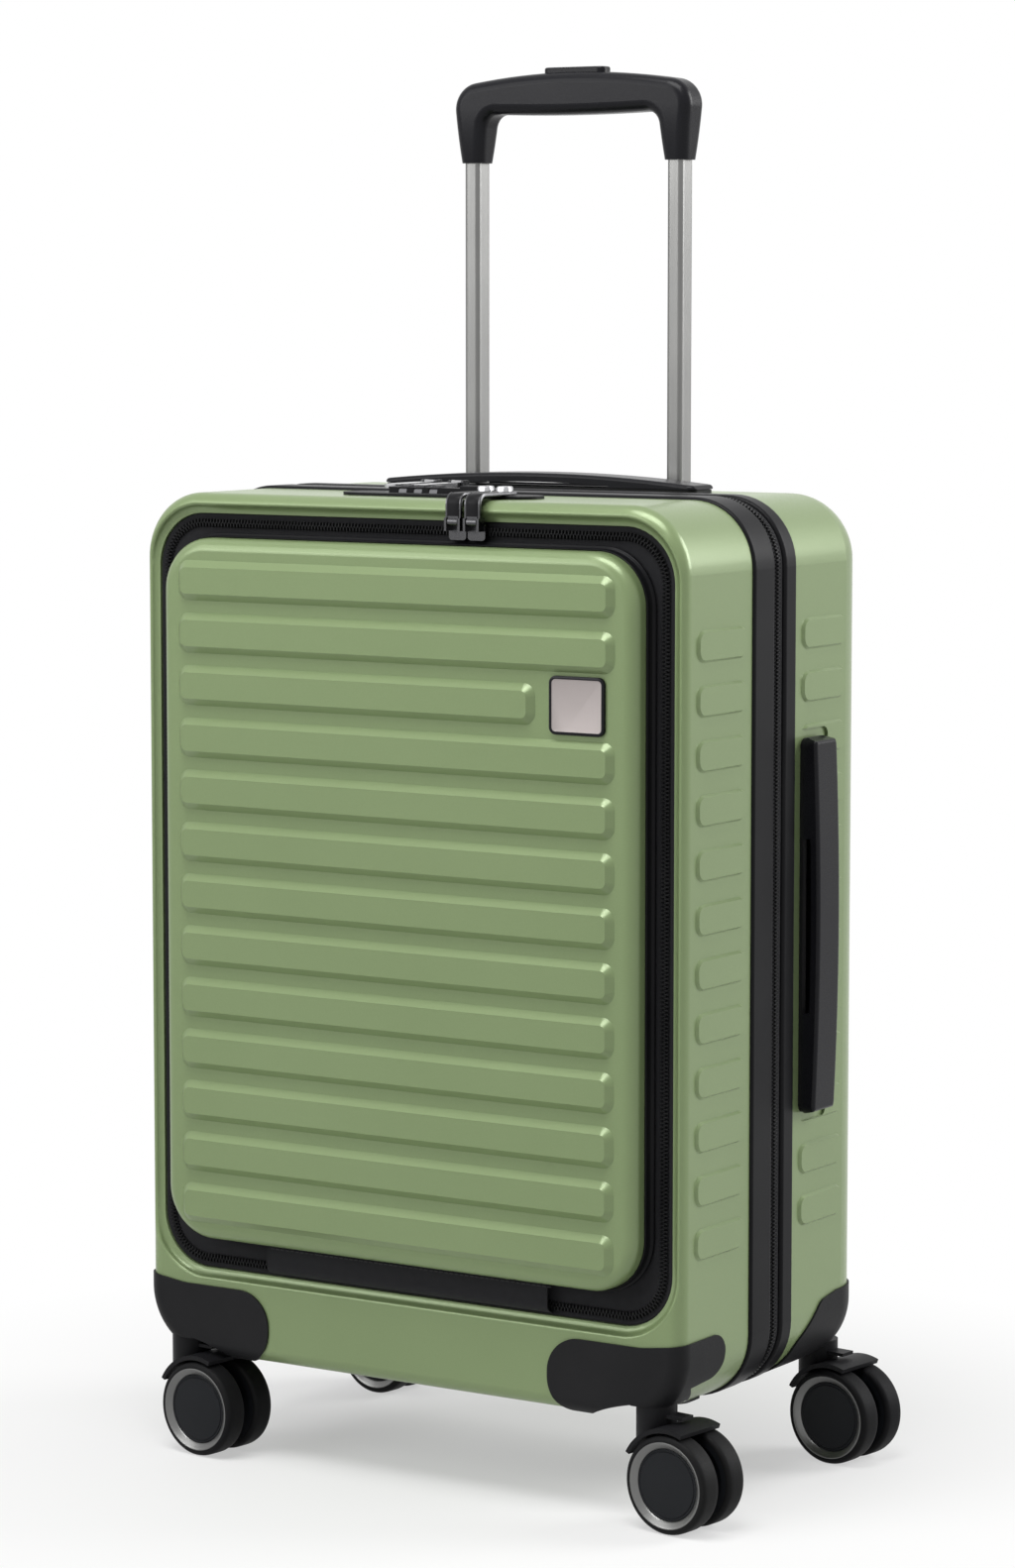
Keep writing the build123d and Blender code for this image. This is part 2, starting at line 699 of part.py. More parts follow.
def grip_front():
    """The grip seen from the front: crowned bar, bellied underside and slim feet."""
    inner = TUBE_X - GRIP_FOOT[0] / 2
    outer = TUBE_X + GRIP_FOOT[0] / 2
    half = GRIP_SHOULDER_X
    shoulder = GRIP_SHOULDER_Z
    low = GRIP_BOTTOM
    loop = GRIP_LOOP_HALF
    lines = [ThreePointArc((-half, shoulder), (0, GRIP_TOP), (half, shoulder))]
    lines += Polyline((half, shoulder), (outer, low), (inner, low), (loop, GRIP_ARCH)).edges()
    lines.append(ThreePointArc((loop, GRIP_ARCH), (0, GRIP_BELLY), (-loop, GRIP_ARCH)))
    lines += Polyline((-loop, GRIP_ARCH), (-inner, low), (-outer, low), (-half, shoulder)).edges()
    face = make_face(lines)
    face = fillet([v for v in face.vertices() if abs(v.Y - shoulder) < 0.01], GRIP_CORNER)
    loop_corners = [v for v in face.vertices() if math.hypot(abs(v.X) - loop, v.Y - GRIP_ARCH) < 0.01]
    return fillet(loop_corners, GRIP_LOOP_CORNER)


def grip_side():
    """The grip seen from the side: feet that swell to the depth of the bar."""
    narrow = GRIP_FOOT[1] / 2
    wide = GRIP_DEPTH / 2
    rise = GRIP_SWELL_Z - GRIP_BOTTOM
    swell = (rise ** 2 + (wide - narrow) ** 2) / (2 * (wide - narrow))
    top = GRIP_TOP + OVER
    lines = [RadiusArc((narrow, GRIP_BOTTOM), (wide, GRIP_SWELL_Z), -swell)]
    lines += Polyline((wide, GRIP_SWELL_Z), (wide, top), (-wide, top), (-wide, GRIP_SWELL_Z)).edges()
    lines.append(RadiusArc((-wide, GRIP_SWELL_Z), (-narrow, GRIP_BOTTOM), -swell))
    lines.append(Line((-narrow, GRIP_BOTTOM), (narrow, GRIP_BOTTOM)))
    return Pos(TUBE_Y, 0) * make_face(lines)


def is_grip_rim(edge):
    """True for the long edges round the front and the back of the grip."""
    middle = edge @ 0.5
    offside = abs(middle.Y - TUBE_Y) > GRIP_FOOT[1] / 2 - 0.01
    return offside and abs((edge % 0.5).Y) < 0.5 and middle.Z > GRIP_BOTTOM + 0.1


def trolley_grip():
    grip = along_y(grip_front(), TUBE_Y - GRIP_DEPTH, TUBE_Y + GRIP_DEPTH)
    grip &= along_x(grip_side(), -FAR, FAR)
    grip = fillet(grip.edges().filter_by(is_grip_rim), GRIP_ROUND)
    seat = along_z(tube_profile(0, -TUBE_FIT), GRIP_BOTTOM - OVER, INNER_TUBE_TOP)
    rod_way = Pos(0, TUBE_Y, 0) * post(LOCK_ROD_RADIUS + LOCK_ROD_ROOM, INNER_TUBE_TOP - OVER, LOCK_BAR_Z)
    for side in (1, -1):
        grip -= Pos(side * TUBE_X, 0, 0) * (seat + rod_way)
    half_x = TUBE_X + LOCK_BAR[0] / 2 + LOCK_BAR_ROOM
    half_y = LOCK_BAR[0] / 2 + LOCK_BAR_ROOM
    grip -= block(-half_x, half_x, TUBE_Y - half_y, TUBE_Y + half_y, LOCK_BAR_Z - LOCK_BAR_TRAVEL,
                  LOCK_BAR_Z + LOCK_BAR[1] + BUTTON_CLEAR)
    return grip - along_z(button_profile(-BUTTON_CLEAR), BUTTON_POCKET_Z, GRIP_TOP + OVER)


def button_profile(inset):
    plan = RectangleRounded(BUTTON_LENGTH - 2 * inset, BUTTON_WIDTH - 2 * inset, BUTTON_CORNER - inset)
    return Pos(0, TUBE_Y) * plan


def trolley_button():
    cap = along_z(button_profile(0), LOCK_BAR_Z + LOCK_BAR[1], GRIP_TOP + BUTTON_PROUD)
    return fillet(top_face_edges(cap), BUTTON_ROUND)


def trolley_lock_bar():
    """Bar under the button, with a rod down each tube to its catch."""
    width, thick = LOCK_BAR
    plan = Pos(0, TUBE_Y) * Rectangle(2 * TUBE_X + width, width)
    bar = along_z(plan, LOCK_BAR_Z, LOCK_BAR_Z + thick)
    rod = Pos(0, TUBE_Y, 0) * post(LOCK_ROD_RADIUS, INNER_TUBE_BOTTOM, LOCK_BAR_Z)
    return bar + [Pos(side * TUBE_X, 0, 0) * rod for side in (1, -1)]


# Lock
def lock_box(z0, z1):
    profile = Pos(LOCK_X, LOCK_Y) * Rectangle(LOCK_BOX_LENGTH, LOCK_BOX_WIDTH)
    return along_z(profile, z0, z1)


def dial_axis(radius, x0, x1):
    return along_x(Pos(LOCK_RIDGE_Y, DIAL_Z) * Circle(radius), x0, x1)


def lock_body():
    plate = Pos(LOCK_X, LOCK_Y) * SlotOverall(LOCK_LENGTH, LOCK_WIDTH)
    body = along_z(plate, CASE_TOP, CASE_TOP + LOCK_PLATE) + lock_box(CASE_TOP - LOCK_BOX_DEPTH, CASE_TOP)
    ridge = RectangleRounded(LOCK_RIDGE_LENGTH, LOCK_RIDGE_WIDTH, LOCK_RIDGE_ROUND)
    body += along_z(Pos(LOCK_X, LOCK_RIDGE_Y) * ridge, CASE_TOP, LOCK_RIDGE_TOP)
    width = DIAL_WIDTH + 2 * DIAL_SIDE_ROOM
    for x in DIAL_X:
        body -= dial_axis(DIAL_RADIUS + DIAL_ROOM, x - width / 2, x + width / 2)
        body -= along_z(Pos(x, LOCK_RIDGE_Y) * Rectangle(width, DIAL_WINDOW), DIAL_Z, LOCK_RIDGE_TOP + OVER)
    body -= dial_axis(DIAL_AXLE + SEAT_CLEAR, DIAL_X[0] - DIAL_AXLE_OVER, DIAL_X[-1] + DIAL_AXLE_OVER)
    length, width, depth = LOCK_BUTTON_SIZE
    low = LOCK_BUTTON_X - length / 2 - BUTTON_CLEAR
    high = LOCK_BUTTON_X + length / 2 + LOCK_BUTTON_TRAVEL + BUTTON_CLEAR
    half = width / 2 + BUTTON_CLEAR
    return body - block(low, high, LOCK_RIDGE_Y - half, LOCK_RIDGE_Y + half, LOCK_RIDGE_TOP - depth,
                        LOCK_RIDGE_TOP + OVER)


def lock_dial(x):
    face = RegularPolygon(DIAL_RADIUS, DIAL_FACES) - Circle(DIAL_AXLE + RUNNING_CLEAR)
    return along_x(Pos(LOCK_RIDGE_Y, DIAL_Z) * face, x - DIAL_WIDTH / 2, x + DIAL_WIDTH / 2)


def lock_dial_axle():
    return dial_axis(DIAL_AXLE, DIAL_X[0] - DIAL_AXLE_OVER, DIAL_X[-1] + DIAL_AXLE_OVER)


def lock_button():
    length, width, depth = LOCK_BUTTON_SIZE
    profile = Pos(LOCK_BUTTON_X, LOCK_RIDGE_Y) * Rectangle(length, width)
    cap = along_z(profile, LOCK_RIDGE_TOP - depth + BUTTON_CLEAR, LOCK_RIDGE_TOP + LOCK_BUTTON_PROUD)
    return fillet(top_face_edges(cap), LOCK_BUTTON_ROUND)


# Zip sliders and pulls
def pin_axis(y, z, radius, x, half):
    return along_x(Pos(y, z) * Circle(radius), x - half, x + half)


def with_ears(body, x, pin, ear):
    """A slider's body with two ears, each a (y, z) profile, and the pin between them."""
    gap = EYE_LENGTH / 2 + EAR_GAP
    ears = [along_x(ear, x + gap, x + gap + EAR_THICK), along_x(ear, x - gap - EAR_THICK, x - gap)]
    return body + ears + pin_axis(*pin, PIN_RADIUS, x, gap + EAR_THICK)


def with_eye(strap, x, pin):
    """A pull's strap with the eye that turns on the slider's pin."""
    pull = strap + pin_axis(*pin, EYE_RADIUS, x, EYE_LENGTH / 2)
    return pull - pin_axis(*pin, PIN_RADIUS + RUNNING_CLEAR, x, PULL_WIDTH)


def main_slider(x):
    low = CASE_TOP + COIL_PROUD + SLIDER_CLEAR
    top = low + SLIDER_HEIGHT
    front = PARTING_Y - SLIDER_WIDTH / 2
    plan = Pos(x, PARTING_Y) * RectangleRounded(SLIDER_LENGTH, SLIDER_WIDTH, SLIDER_ROUND)
    ear_front = MAIN_PIN_Y - EYE_RADIUS
    ear_length = front + SLIDER_ROUND - ear_front
    ear = Pos(ear_front + ear_length / 2, MAIN_PIN_Z) * Rectangle(ear_length, 2 * EYE_RADIUS)
    return with_ears(along_z(plan, low, top), x, (MAIN_PIN_Y, MAIN_PIN_Z), ear)


def main_pull(x):
    """Flat tab that lies forward over the lock plate."""
    tip = MAIN_PIN_Y - MAIN_PULL_LENGTH
    root = MAIN_PIN_Y - PULL_NECK
    tab = Pos(x, (tip + root) / 2) * RectangleRounded(PULL_WIDTH, root - tip, PULL_CORNER)
    neck = Pos(x, root) * Rectangle(EYE_LENGTH, 2 * PULL_NECK)
    strap = along_z(tab + neck, MAIN_PIN_Z - PULL_THICK / 2, MAIN_PIN_Z + PULL_THICK / 2)
    return with_eye(strap, x, (MAIN_PIN_Y, MAIN_PIN_Z))


def door_slider(x):
    back = DOOR_BACK_Y - DOOR_COIL_PROUD - SLIDER_CLEAR
    middle = OPENING_TOP - DOOR_ZIP_INSET
    outline = Pos(x, middle) * RectangleRounded(SLIDER_LENGTH, SLIDER_WIDTH, SLIDER_ROUND)
    ear_low = middle + SLIDER_WIDTH / 2 - 2 * SLIDER_ROUND
    ear_top = DOOR_PIN_Z + EYE_RADIUS
    ear_front = DOOR_PIN_Y - EYE_RADIUS
    ear_back = back - SLIDER_HEIGHT + EAR_ROOT
    ear = polygon([(ear_front, ear_low), (ear_back, ear_low), (ear_back, ear_top), (ear_front, ear_top)])
    return with_ears(along_y(outline, back - SLIDER_HEIGHT, back), x, (DOOR_PIN_Y, DOOR_PIN_Z), ear)


def door_pull(x):
    """Strap that turns over the rim and lies on the lock plate."""
    top = DOOR_PULL_TOP - PULL_THICK / 2
    root = DOOR_PIN_Z + PULL_NECK
    corners = [(DOOR_PIN_Y, root), (DOOR_PIN_Y, top), (DOOR_PULL_TIP_Y, top)]
    path = FilletPolyline(*corners, radius=DOOR_PULL_BEND)
    profile = make_face(offset(path, PULL_THICK / 2, side=Side.BOTH).edges())
    strap = along_x(profile, x - PULL_WIDTH / 2, x + PULL_WIDTH / 2)
    neck = Pos(x, root) * Rectangle(EYE_LENGTH, 2 * PULL_NECK)
    strap += along_y(neck, DOOR_PIN_Y - PULL_THICK / 2, DOOR_PIN_Y + PULL_THICK / 2)
    length, width, height = DOOR_PULL_TAB
    tab = Pos(x, DOOR_PULL_TIP_Y - length / 2) * RectangleRounded(width, length, PULL_CORNER)
    strap += along_z(tab, top, DOOR_PULL_TOP + height)
    return with_eye(strap, x, (DOOR_PIN_Y, DOOR_PIN_Z))


# Casters are drawn with the kingpin on the Z axis, trailing to +X
def at_caster(shape, row, side):
    return Pos(side * CASTER_X, CASTER_Y[row], 0) * Rot(0, 0, CASTER_YAW) * shape


def wheel_axis(radius, half):
    return along_y(Pos(CASTER_TRAIL, WHEEL_RADIUS) * Circle(radius), -half, half)


def fender():
    """Curved guard over the front of the tyres."""
    ring = wheel_axis(FENDER_OUTER, FENDER_HALF) - wheel_axis(FENDER_INNER, FAR)
    corners = [(CASTER_TRAIL, WHEEL_RADIUS)]
    for angle in (FENDER_FROM, (FENDER_FROM + FENDER_TO) / 2, FENDER_TO):
        turn = math.radians(angle)
        reach = 2 * FENDER_OUTER
        corners.append((CASTER_TRAIL + reach * math.cos(turn), WHEEL_RADIUS + reach * math.sin(turn)))
    return ring & along_y(polygon(corners), -FAR, FAR)


def caster_fork():
    neck = post(NECK_RADIUS, NECK_BOTTOM, NECK_TOP) - wheel_axis(FENDER_INNER, FAR)
    web = polygon([(-NECK_RADIUS, FORK_WEB_TOP), (NECK_RADIUS, FORK_WEB_TOP),
                   (CASTER_TRAIL + FORK_BOSS, WHEEL_RADIUS), (CASTER_TRAIL, WHEEL_RADIUS - FORK_BOSS),
                   (CASTER_TRAIL - FORK_BOSS, WHEEL_RADIUS)])
    reach, width, thick = FORK_TAB
    tab = along_z(Pos(reach / 2, 0) * Rectangle(reach, width), FORK_TAB_Z, FORK_TAB_Z + thick)
    fork = neck + fender() + tab
    fork += along_y(web, -FORK_WEB / 2, FORK_WEB / 2) + wheel_axis(FORK_BOSS, FORK_WEB / 2)
    fork -= post(KINGPIN_RADIUS + RUNNING_CLEAR, KINGPIN_BOTTOM - KINGPIN_GAP, NECK_TOP + OVER)
    fork -= wheel_axis(AXLE_RADIUS + SEAT_CLEAR, FAR)
    return [fork, wheel_axis(AXLE_RADIUS, AXLE_HALF)]


def turned(face):
    """Solid of revolution about the wheel axis, from a (radius, y) face."""
    return Pos(CASTER_TRAIL, 0, WHEEL_RADIUS) * revolve(face, axis=Axis.Y)


def caster_wheel():
    inner = WHEEL_INNER
    outer = WHEEL_OUTER
    seat = outer - TRIM_SEAT
    cap_edge = outer - CAP_SUNK[0]
    bore = AXLE_RADIUS + RUNNING_CLEAR
    axle_end = AXLE_HALF + AXLE_END_GAP
    boss, rim, recess = HUB_RECESS
    tyre = rounded_polygon([(TYRE_BORE, inner, 0), (WHEEL_RADIUS, inner, TYRE_INNER_ROUND),
                            (WHEEL_RADIUS, outer, TYRE_OUTER_ROUND), (TYRE_BORE, outer, 0)])
    hub = polygon([(bore, inner), (boss, inner), (boss, inner + recess), (rim, inner + recess), (rim, inner),
                   (TYRE_BORE, inner), (TYRE_BORE, seat), (TRIM_BORE, seat), (TRIM_BORE, cap_edge),
                   (0, outer - CAP_SUNK[1]), (0, axle_end), (bore, axle_end)])
    trim = polygon([(TRIM_BORE, seat), (TYRE_BORE, seat), (TYRE_BORE, outer), (TYRE_BORE - TRIM_LIP, outer),
                    (TRIM_BORE, cap_edge)])
    return [turned(tyre), turned(hub), turned(trim)]


# Wheel housings wrap the bottom corners
def housing_region(row, side):
    """Corner of the case that the moulding takes the place of."""
    inward = WRAP_INWARD[row]
    y0, y1 = (-FAR, RIM_Y + inward) if row == "front" else (BACK_Y - inward, FAR)
    wrap = along_y(rounded_polygon(HOUSING_FRONT_OUTLINE), y0, y1)
    wrap += along_x(rounded_polygon(HOUSING_SIDE_OUTLINE[row]), HALF_WIDTH - WRAP_INWARD["rear"], FAR)
    arch = post(ARCH_RADIUS + ARCH_LAND, 0, ARCH_FLOOR_TOP) - block(ARCH_SIDE, FAR, -FAR, FAR, -OVER, FAR)
    arch += post(HOUSING_BOSS + HOUSING_BOSS_LAND, 0, HOUSING_BOSS_TOP + OVER)
    wrap += Pos(CASTER_X, CASTER_Y[row], 0) * arch
    if row == "front":
        wrap -= block(-FAR, FAR, FRONT_END_Y, FAR, -FAR, FAR)
    else:
        wrap -= block(-FAR, FAR, -FAR, REAR_START_Y, -FAR, FAR)
    return wrap if side > 0 else mirror_x(wrap)


def wheel_arch():
    """Shallow dome over the kingpin that clears the swivelling wheels."""
    rise = ARCH_TOP - ARCH_EDGE_Z
    radius = (ARCH_RADIUS ** 2 + rise ** 2) / (2 * rise)
    return Pos(0, 0, ARCH_TOP - radius) * Sphere(radius)


def wheel_housing(row, side):
    if row == "front":
        skin = front_outer(HOUSING_PROUD)
        hollow = along_y(case_outline(-HOUSING_WALL), RIM_Y + HOUSING_WALL, FRONT_END_Y + OVER)
    else:
        skin = rear_outer(HOUSING_PROUD)
        hollow = along_y(case_outline(-HOUSING_WALL), REAR_START_Y - OVER, BACK_Y - HOUSING_WALL)
        hollow = fillet(back_face_edges(hollow), BACK_ROUND - HOUSING_WALL)
    place = Pos(side * CASTER_X, CASTER_Y[row], 0)
    region = housing_region(row, side)
    boss = post(HOUSING_BOSS, CASE_BOTTOM, HOUSING_BOSS_TOP)
    boss += post(ARCH_RADIUS, CASE_BOTTOM, HOUSING_FLOOR_TOP)
    body = (skin - hollow) & region
    body += (place * boss) & skin & region
    body -= place * wheel_arch()
    collar = post(HOUSING_BOSS, COLLAR_BOTTOM, HOUSING_FLOOR_TOP)
    collar -= post(NECK_RADIUS + COLLAR_CLEAR, 0, HOUSING_FLOOR_TOP)
    body += (place * collar) & skin
    body -= place * post(KINGPIN_RADIUS + SEAT_CLEAR, 0, KINGPIN_TOP)
    return [body, place * post(KINGPIN_RADIUS, KINGPIN_BOTTOM, KINGPIN_TOP)]


# Every piece by name
def case_pieces():
    front_edge = PARTING_Y - PARTING_GAP / 2
    rear_edge = PARTING_Y + PARTING_GAP / 2
    return {
        "rear_shell": rear_shell(),
        "front_shell": front_shell(),
        "rear_piping": piping(ZIP_REAR_Y, REAR_START_Y),
        "front_piping": piping(FRONT_END_Y, ZIP_FRONT_Y),
        "main_zip_front": main_zip(ZIP_FRONT_Y, front_edge, front_edge - COIL_WIDTH, front_edge),
        "main_zip_rear": main_zip(rear_edge, ZIP_REAR_Y, rear_edge, rear_edge + COIL_WIDTH),
        "main_hinge_front": main_hinge(ZIP_FRONT_Y, front_edge),
        "main_hinge_rear": main_hinge(rear_edge, ZIP_REAR_Y),
        "front_door": front_door(),
        "badge_plate": badge_plate(),
        "door_zip_panel": door_zip_panel(),
        "door_zip_frame": door_zip_frame(),
        "door_hinge_upper": door_hinge_upper(),
        "door_hinge_lower": door_hinge_lower(),
        "front_pocket": front_pocket(),
    }


def handle_pieces():
    base = handle_base()
    return {
        "top_handle_base": at_top(base),
        "top_handle_grip": at_top(handle_grip(TOP_HANDLE_CROWN, TOP_HANDLE_END)),
        "side_handle_base": at_side(base),
        "side_handle_grip": at_side(handle_grip(SIDE_HANDLE_CROWN, SIDE_HANDLE_END)),
        "trolley_outer_tubes": tube_pair(2, OUTER_TUBE_BOTTOM, OUTER_TUBE_TOP),
        "trolley_middle_tubes": tube_pair(1, MIDDLE_TUBE_BOTTOM, MIDDLE_TUBE_TOP),
        "trolley_inner_tubes": tube_pair(0, INNER_TUBE_BOTTOM, INNER_TUBE_TOP),
        "trolley_bezel": trolley_bezel(),
        "trolley_foot": trolley_foot(),
        "trolley_grip": trolley_grip(),
        "trolley_button": trolley_button(),
        "trolley_lock_bar": trolley_lock_bar(),
    }


def lock_pieces():
    pieces = {"lock_body": lock_body(), "lock_button": lock_button(), "lock_dial_axle": lock_dial_axle()}
    for index, x in enumerate(DIAL_X):
        pieces[f"lock_dial_{index + 1}"] = lock_dial(x)
    return pieces


def zip_pieces():
    pieces = {}
    for index, name in enumerate(("left", "right")):
        pieces[f"main_zip_slider_{name}"] = main_slider(MAIN_SLIDER_X[index])
        pieces[f"main_zip_pull_{name}"] = main_pull(MAIN_SLIDER_X[index])
        pieces[f"door_zip_slider_{name}"] = door_slider(DOOR_SLIDER_X[index])
        pieces[f"door_zip_pull_{name}"] = door_pull(DOOR_SLIDER_X[index])
    return pieces


def caster_pieces():
    pieces = {}
    fork = caster_fork()
    back_wheel = caster_wheel()
    front_wheel = [mirror(piece, about=Plane.XZ) for piece in back_wheel]
    for row in ("front", "rear"):
        for name, side in (("left", -1), ("right", 1)):
            corner = f"{row}_{name}"
            pieces[f"{corner}_housing"] = wheel_housing(row, side)
            pieces[f"{corner}_fork"] = [at_caster(piece, row, side) for piece in fork]
            pieces[f"{corner}_wheel_front"] = [at_caster(piece, row, side) for piece in front_wheel]
            pieces[f"{corner}_wheel_back"] = [at_caster(piece, row, side) for piece in back_wheel]
    return pieces


def export(name, shape):
    shapes = shape if isinstance(shape, list) else [shape]
    solids = [solid for piece in shapes for solid in piece.solids()]
    export_step(Compound(children=solids), f"parts/{name}.step")


os.makedirs("parts", exist_ok=True)
for group in (case_pieces(), handle_pieces(), lock_pieces(), zip_pieces(), caster_pieces()):
    for name, shape in group.items():
        export(name, shape)
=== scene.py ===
import json
import math
import bmesh
import bpy
from mathutils import Matrix, Vector


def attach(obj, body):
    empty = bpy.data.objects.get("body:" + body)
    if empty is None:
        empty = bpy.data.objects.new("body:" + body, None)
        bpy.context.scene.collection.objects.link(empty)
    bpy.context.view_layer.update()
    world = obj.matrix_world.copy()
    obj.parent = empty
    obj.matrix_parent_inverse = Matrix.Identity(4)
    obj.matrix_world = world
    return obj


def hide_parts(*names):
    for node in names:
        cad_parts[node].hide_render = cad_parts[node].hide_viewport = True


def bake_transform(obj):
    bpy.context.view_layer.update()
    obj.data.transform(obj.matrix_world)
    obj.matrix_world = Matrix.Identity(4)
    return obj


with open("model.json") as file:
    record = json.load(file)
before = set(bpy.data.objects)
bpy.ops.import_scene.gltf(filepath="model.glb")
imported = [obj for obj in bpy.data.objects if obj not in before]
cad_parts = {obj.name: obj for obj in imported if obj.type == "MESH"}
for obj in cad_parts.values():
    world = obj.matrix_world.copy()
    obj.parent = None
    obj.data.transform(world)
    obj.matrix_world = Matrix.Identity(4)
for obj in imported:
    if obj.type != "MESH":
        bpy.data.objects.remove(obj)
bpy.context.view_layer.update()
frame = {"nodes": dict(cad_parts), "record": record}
NODES = frame["nodes"]
MM = 0.001

# Camera and stage, in metres and degrees
CAMERA_PLACE = (1.37700, -2.12266, 0.64904)
CAMERA_AZIMUTH = 32.854
CAMERA_PITCH = 6.105
CAMERA_LENS = 105.14
CAMERA_REACH = 20
SENSOR = 36.0
FLOOR_RADIUS = 6.0
FLOOR_TONE = (0.70, 0.70, 0.695)
SHADOW_WHITE = 0.40
SHADOW_REACH = (0.10, 0.50)
WORLD_LEVEL = 0.15
WHITE = (1, 1, 1, 1)

# Lamps, in metres and watts: place, target, size, power
LAMPS = {
    "key": ((-1.4, -2.0, 1.70), (0, -0.1, 0.5), (1.8, 1.5), 25),
    "sheen": ((-1.55, -2.2, 1.0), (0, -0.1, 0.5), (0.9, 0.45), 7),
    "side": ((2.1, 1.9, 1.6), (0, 0, 0.45), (1.4, 1.8), 76),
    "top": ((0.1, -0.75, 2.2), (0, 0, 0.35), (1.4, 1.0), 42),
}

# Outlines seen from the front, in mm: half width, lowest, highest, corner radius
CASE = (174.5, 56.2, 540.2, 36.0)
OPENING = (166.6, 105.5, 529.2, 30.0)
DOOR = (153.0, 125.2, 516.0, 29.0)
REAR_LINING = (149.5, 72.0, 513.0, 20.0)
FRONT_LINING = (165.0, 72.0, 520.0, 24.0)

# Depths and places taken over from the part, in mm
ZIP_FRONT_Y = 0.0
PARTING_Y = 5.5
ZIP_REAR_Y = 11.0
HINGE_MID_Z = 298.2
HINGE_HALF = 200.0
DOOR_BACK_Y = -87.5
DOOR_ZIP_INSET = 5.6
DOOR_HINGE_HALF = 92.0
DOOR_PIN = (-96.2, 529.0)
DOOR_SLIDER_X = {"left": 34.5, "right": 46.5}
BADGE_X = 118.3
BADGE_Z = 435.6
CASTER_X = 153.4
CASTER_Y = {"front": -82.0, "rear": 94.0}
CASTER_YAW = -7.0
CASTER_TRAIL = 19.0
WHEEL_RADIUS = 26.5

# Colours, linear
GREEN = (0.203, 0.270, 0.129)
GREEN_DEEP = (0.178, 0.241, 0.110)
BLACK = (0.005, 0.005, 0.006)
BLACK_SOFT = (0.009, 0.009, 0.010)
GREY_DARK = (0.018, 0.018, 0.020)
ALUMINIUM = (0.20, 0.20, 0.195)
CHROME = (0.46, 0.46, 0.47)

# Part of a noise's range that carries its change
NOISE_ENDS = (0.3, 0.7)


# Materials
def new_material(name):
    material = bpy.data.materials.new(name)
    material.use_nodes = True
    shader = material.node_tree.nodes["Principled BSDF"]
    return material, material.node_tree, shader


def object_place(tree, stretch=(1, 1, 1)):
    coords = tree.nodes.new("ShaderNodeTexCoord")
    mapping = tree.nodes.new("ShaderNodeMapping")
    mapping.inputs["Scale"].default_value = stretch
    tree.links.new(coords.outputs["Object"], mapping.inputs["Vector"])
    return mapping.outputs["Vector"]


def object_noise(tree, scale, detail=2.0, stretch=(1, 1, 1)):
    noise = tree.nodes.new("ShaderNodeTexNoise")
    noise.inputs["Scale"].default_value = scale
    noise.inputs["Detail"].default_value = detail
    tree.links.new(object_place(tree, stretch), noise.inputs["Vector"])
    return noise.outputs["Fac"]


def spread(tree, value, low, high, ends=NOISE_ENDS):
    ramp = tree.nodes.new("ShaderNodeMapRange")
    ramp.inputs["From Min"].default_value = ends[0]
    ramp.inputs["From Max"].default_value = ends[1]
    ramp.inputs["To Min"].default_value = low
    ramp.inputs["To Max"].default_value = high
    tree.links.new(value, ramp.inputs["Value"])
    return ramp.outputs["Result"]


def two_colours(tree, value, low, high):
    ramp = tree.nodes.new("ShaderNodeValToRGB")
    for element, position, colour in zip(ramp.color_ramp.elements, NOISE_ENDS, (low, high)):
        element.position = position
        element.color = (*colour, 1)
    tree.links.new(value, ramp.inputs["Fac"])
    return ramp.outputs["Color"]


def bump(tree, shader, value, strength, distance):
    node = tree.nodes.new("ShaderNodeBump")
    node.inputs["Strength"].default_value = strength
    node.inputs["Distance"].default_value = distance
    tree.links.new(value, node.inputs["Height"])
    tree.links.new(node.outputs["Normal"], shader.inputs["Normal"])


def grained(name, low, high, rough, metallic=0.0, grain=1800.0, depth=0.00006, stretch=(1, 1, 1), gloss=0.11):
    """Moulded or metal surface: a slow tone change, a fine grain and an uneven sheen."""
    material, tree, shader = new_material(name)
    tone = object_noise(tree, 14.0, 3.0)
    fine = object_noise(tree, grain, 2.0, stretch)
    tree.links.new(two_colours(tree, tone, low, high), shader.inputs["Base Color"])
    tree.links.new(spread(tree, fine, rough - 0.05, rough + 0.05), shader.inputs["Roughness"])
    shader.inputs["Metallic"].default_value = metallic
    shader.inputs["Specular IOR Level"].default_value = 0.5 if metallic else gloss
    bump(tree, shader, fine, 0.5, depth)
    return material


def woven(name, low, high, rough, thread=0.9):
    """Cloth of crossing threads, thread mm apart."""
    material, tree, shader = new_material(name)
    waves = []
    for stretch in ((1, 1, 1), (1, -1, -1)):
        wave = tree.nodes.new("ShaderNodeTexWave")
        wave.wave_type = "BANDS"
        wave.bands_direction = "DIAGONAL"
        wave.inputs["Scale"].default_value = 628.0 / thread
        wave.inputs["Distortion"].default_value = 0.6
        wave.inputs["Detail"].default_value = 1.0
        tree.links.new(object_place(tree, stretch), wave.inputs["Vector"])
        waves.append(wave.outputs["Fac"])
    cross = tree.nodes.new("ShaderNodeMath")
    cross.operation = "MAXIMUM"
    tree.links.new(waves[0], cross.inputs[0])
    tree.links.new(waves[1], cross.inputs[1])
    tree.links.new(two_colours(tree, cross.outputs["Value"], low, high), shader.inputs["Base Color"])
    uneven = object_noise(tree, 300.0)
    tree.links.new(spread(tree, uneven, rough - 0.06, rough + 0.06), shader.inputs["Roughness"])
    shader.inputs["Sheen Weight"].default_value = 0.05
    shader.inputs["Specular IOR Level"].default_value = 0.1
    bump(tree, shader, cross.outputs["Value"], 0.6, 0.00012)
    return material


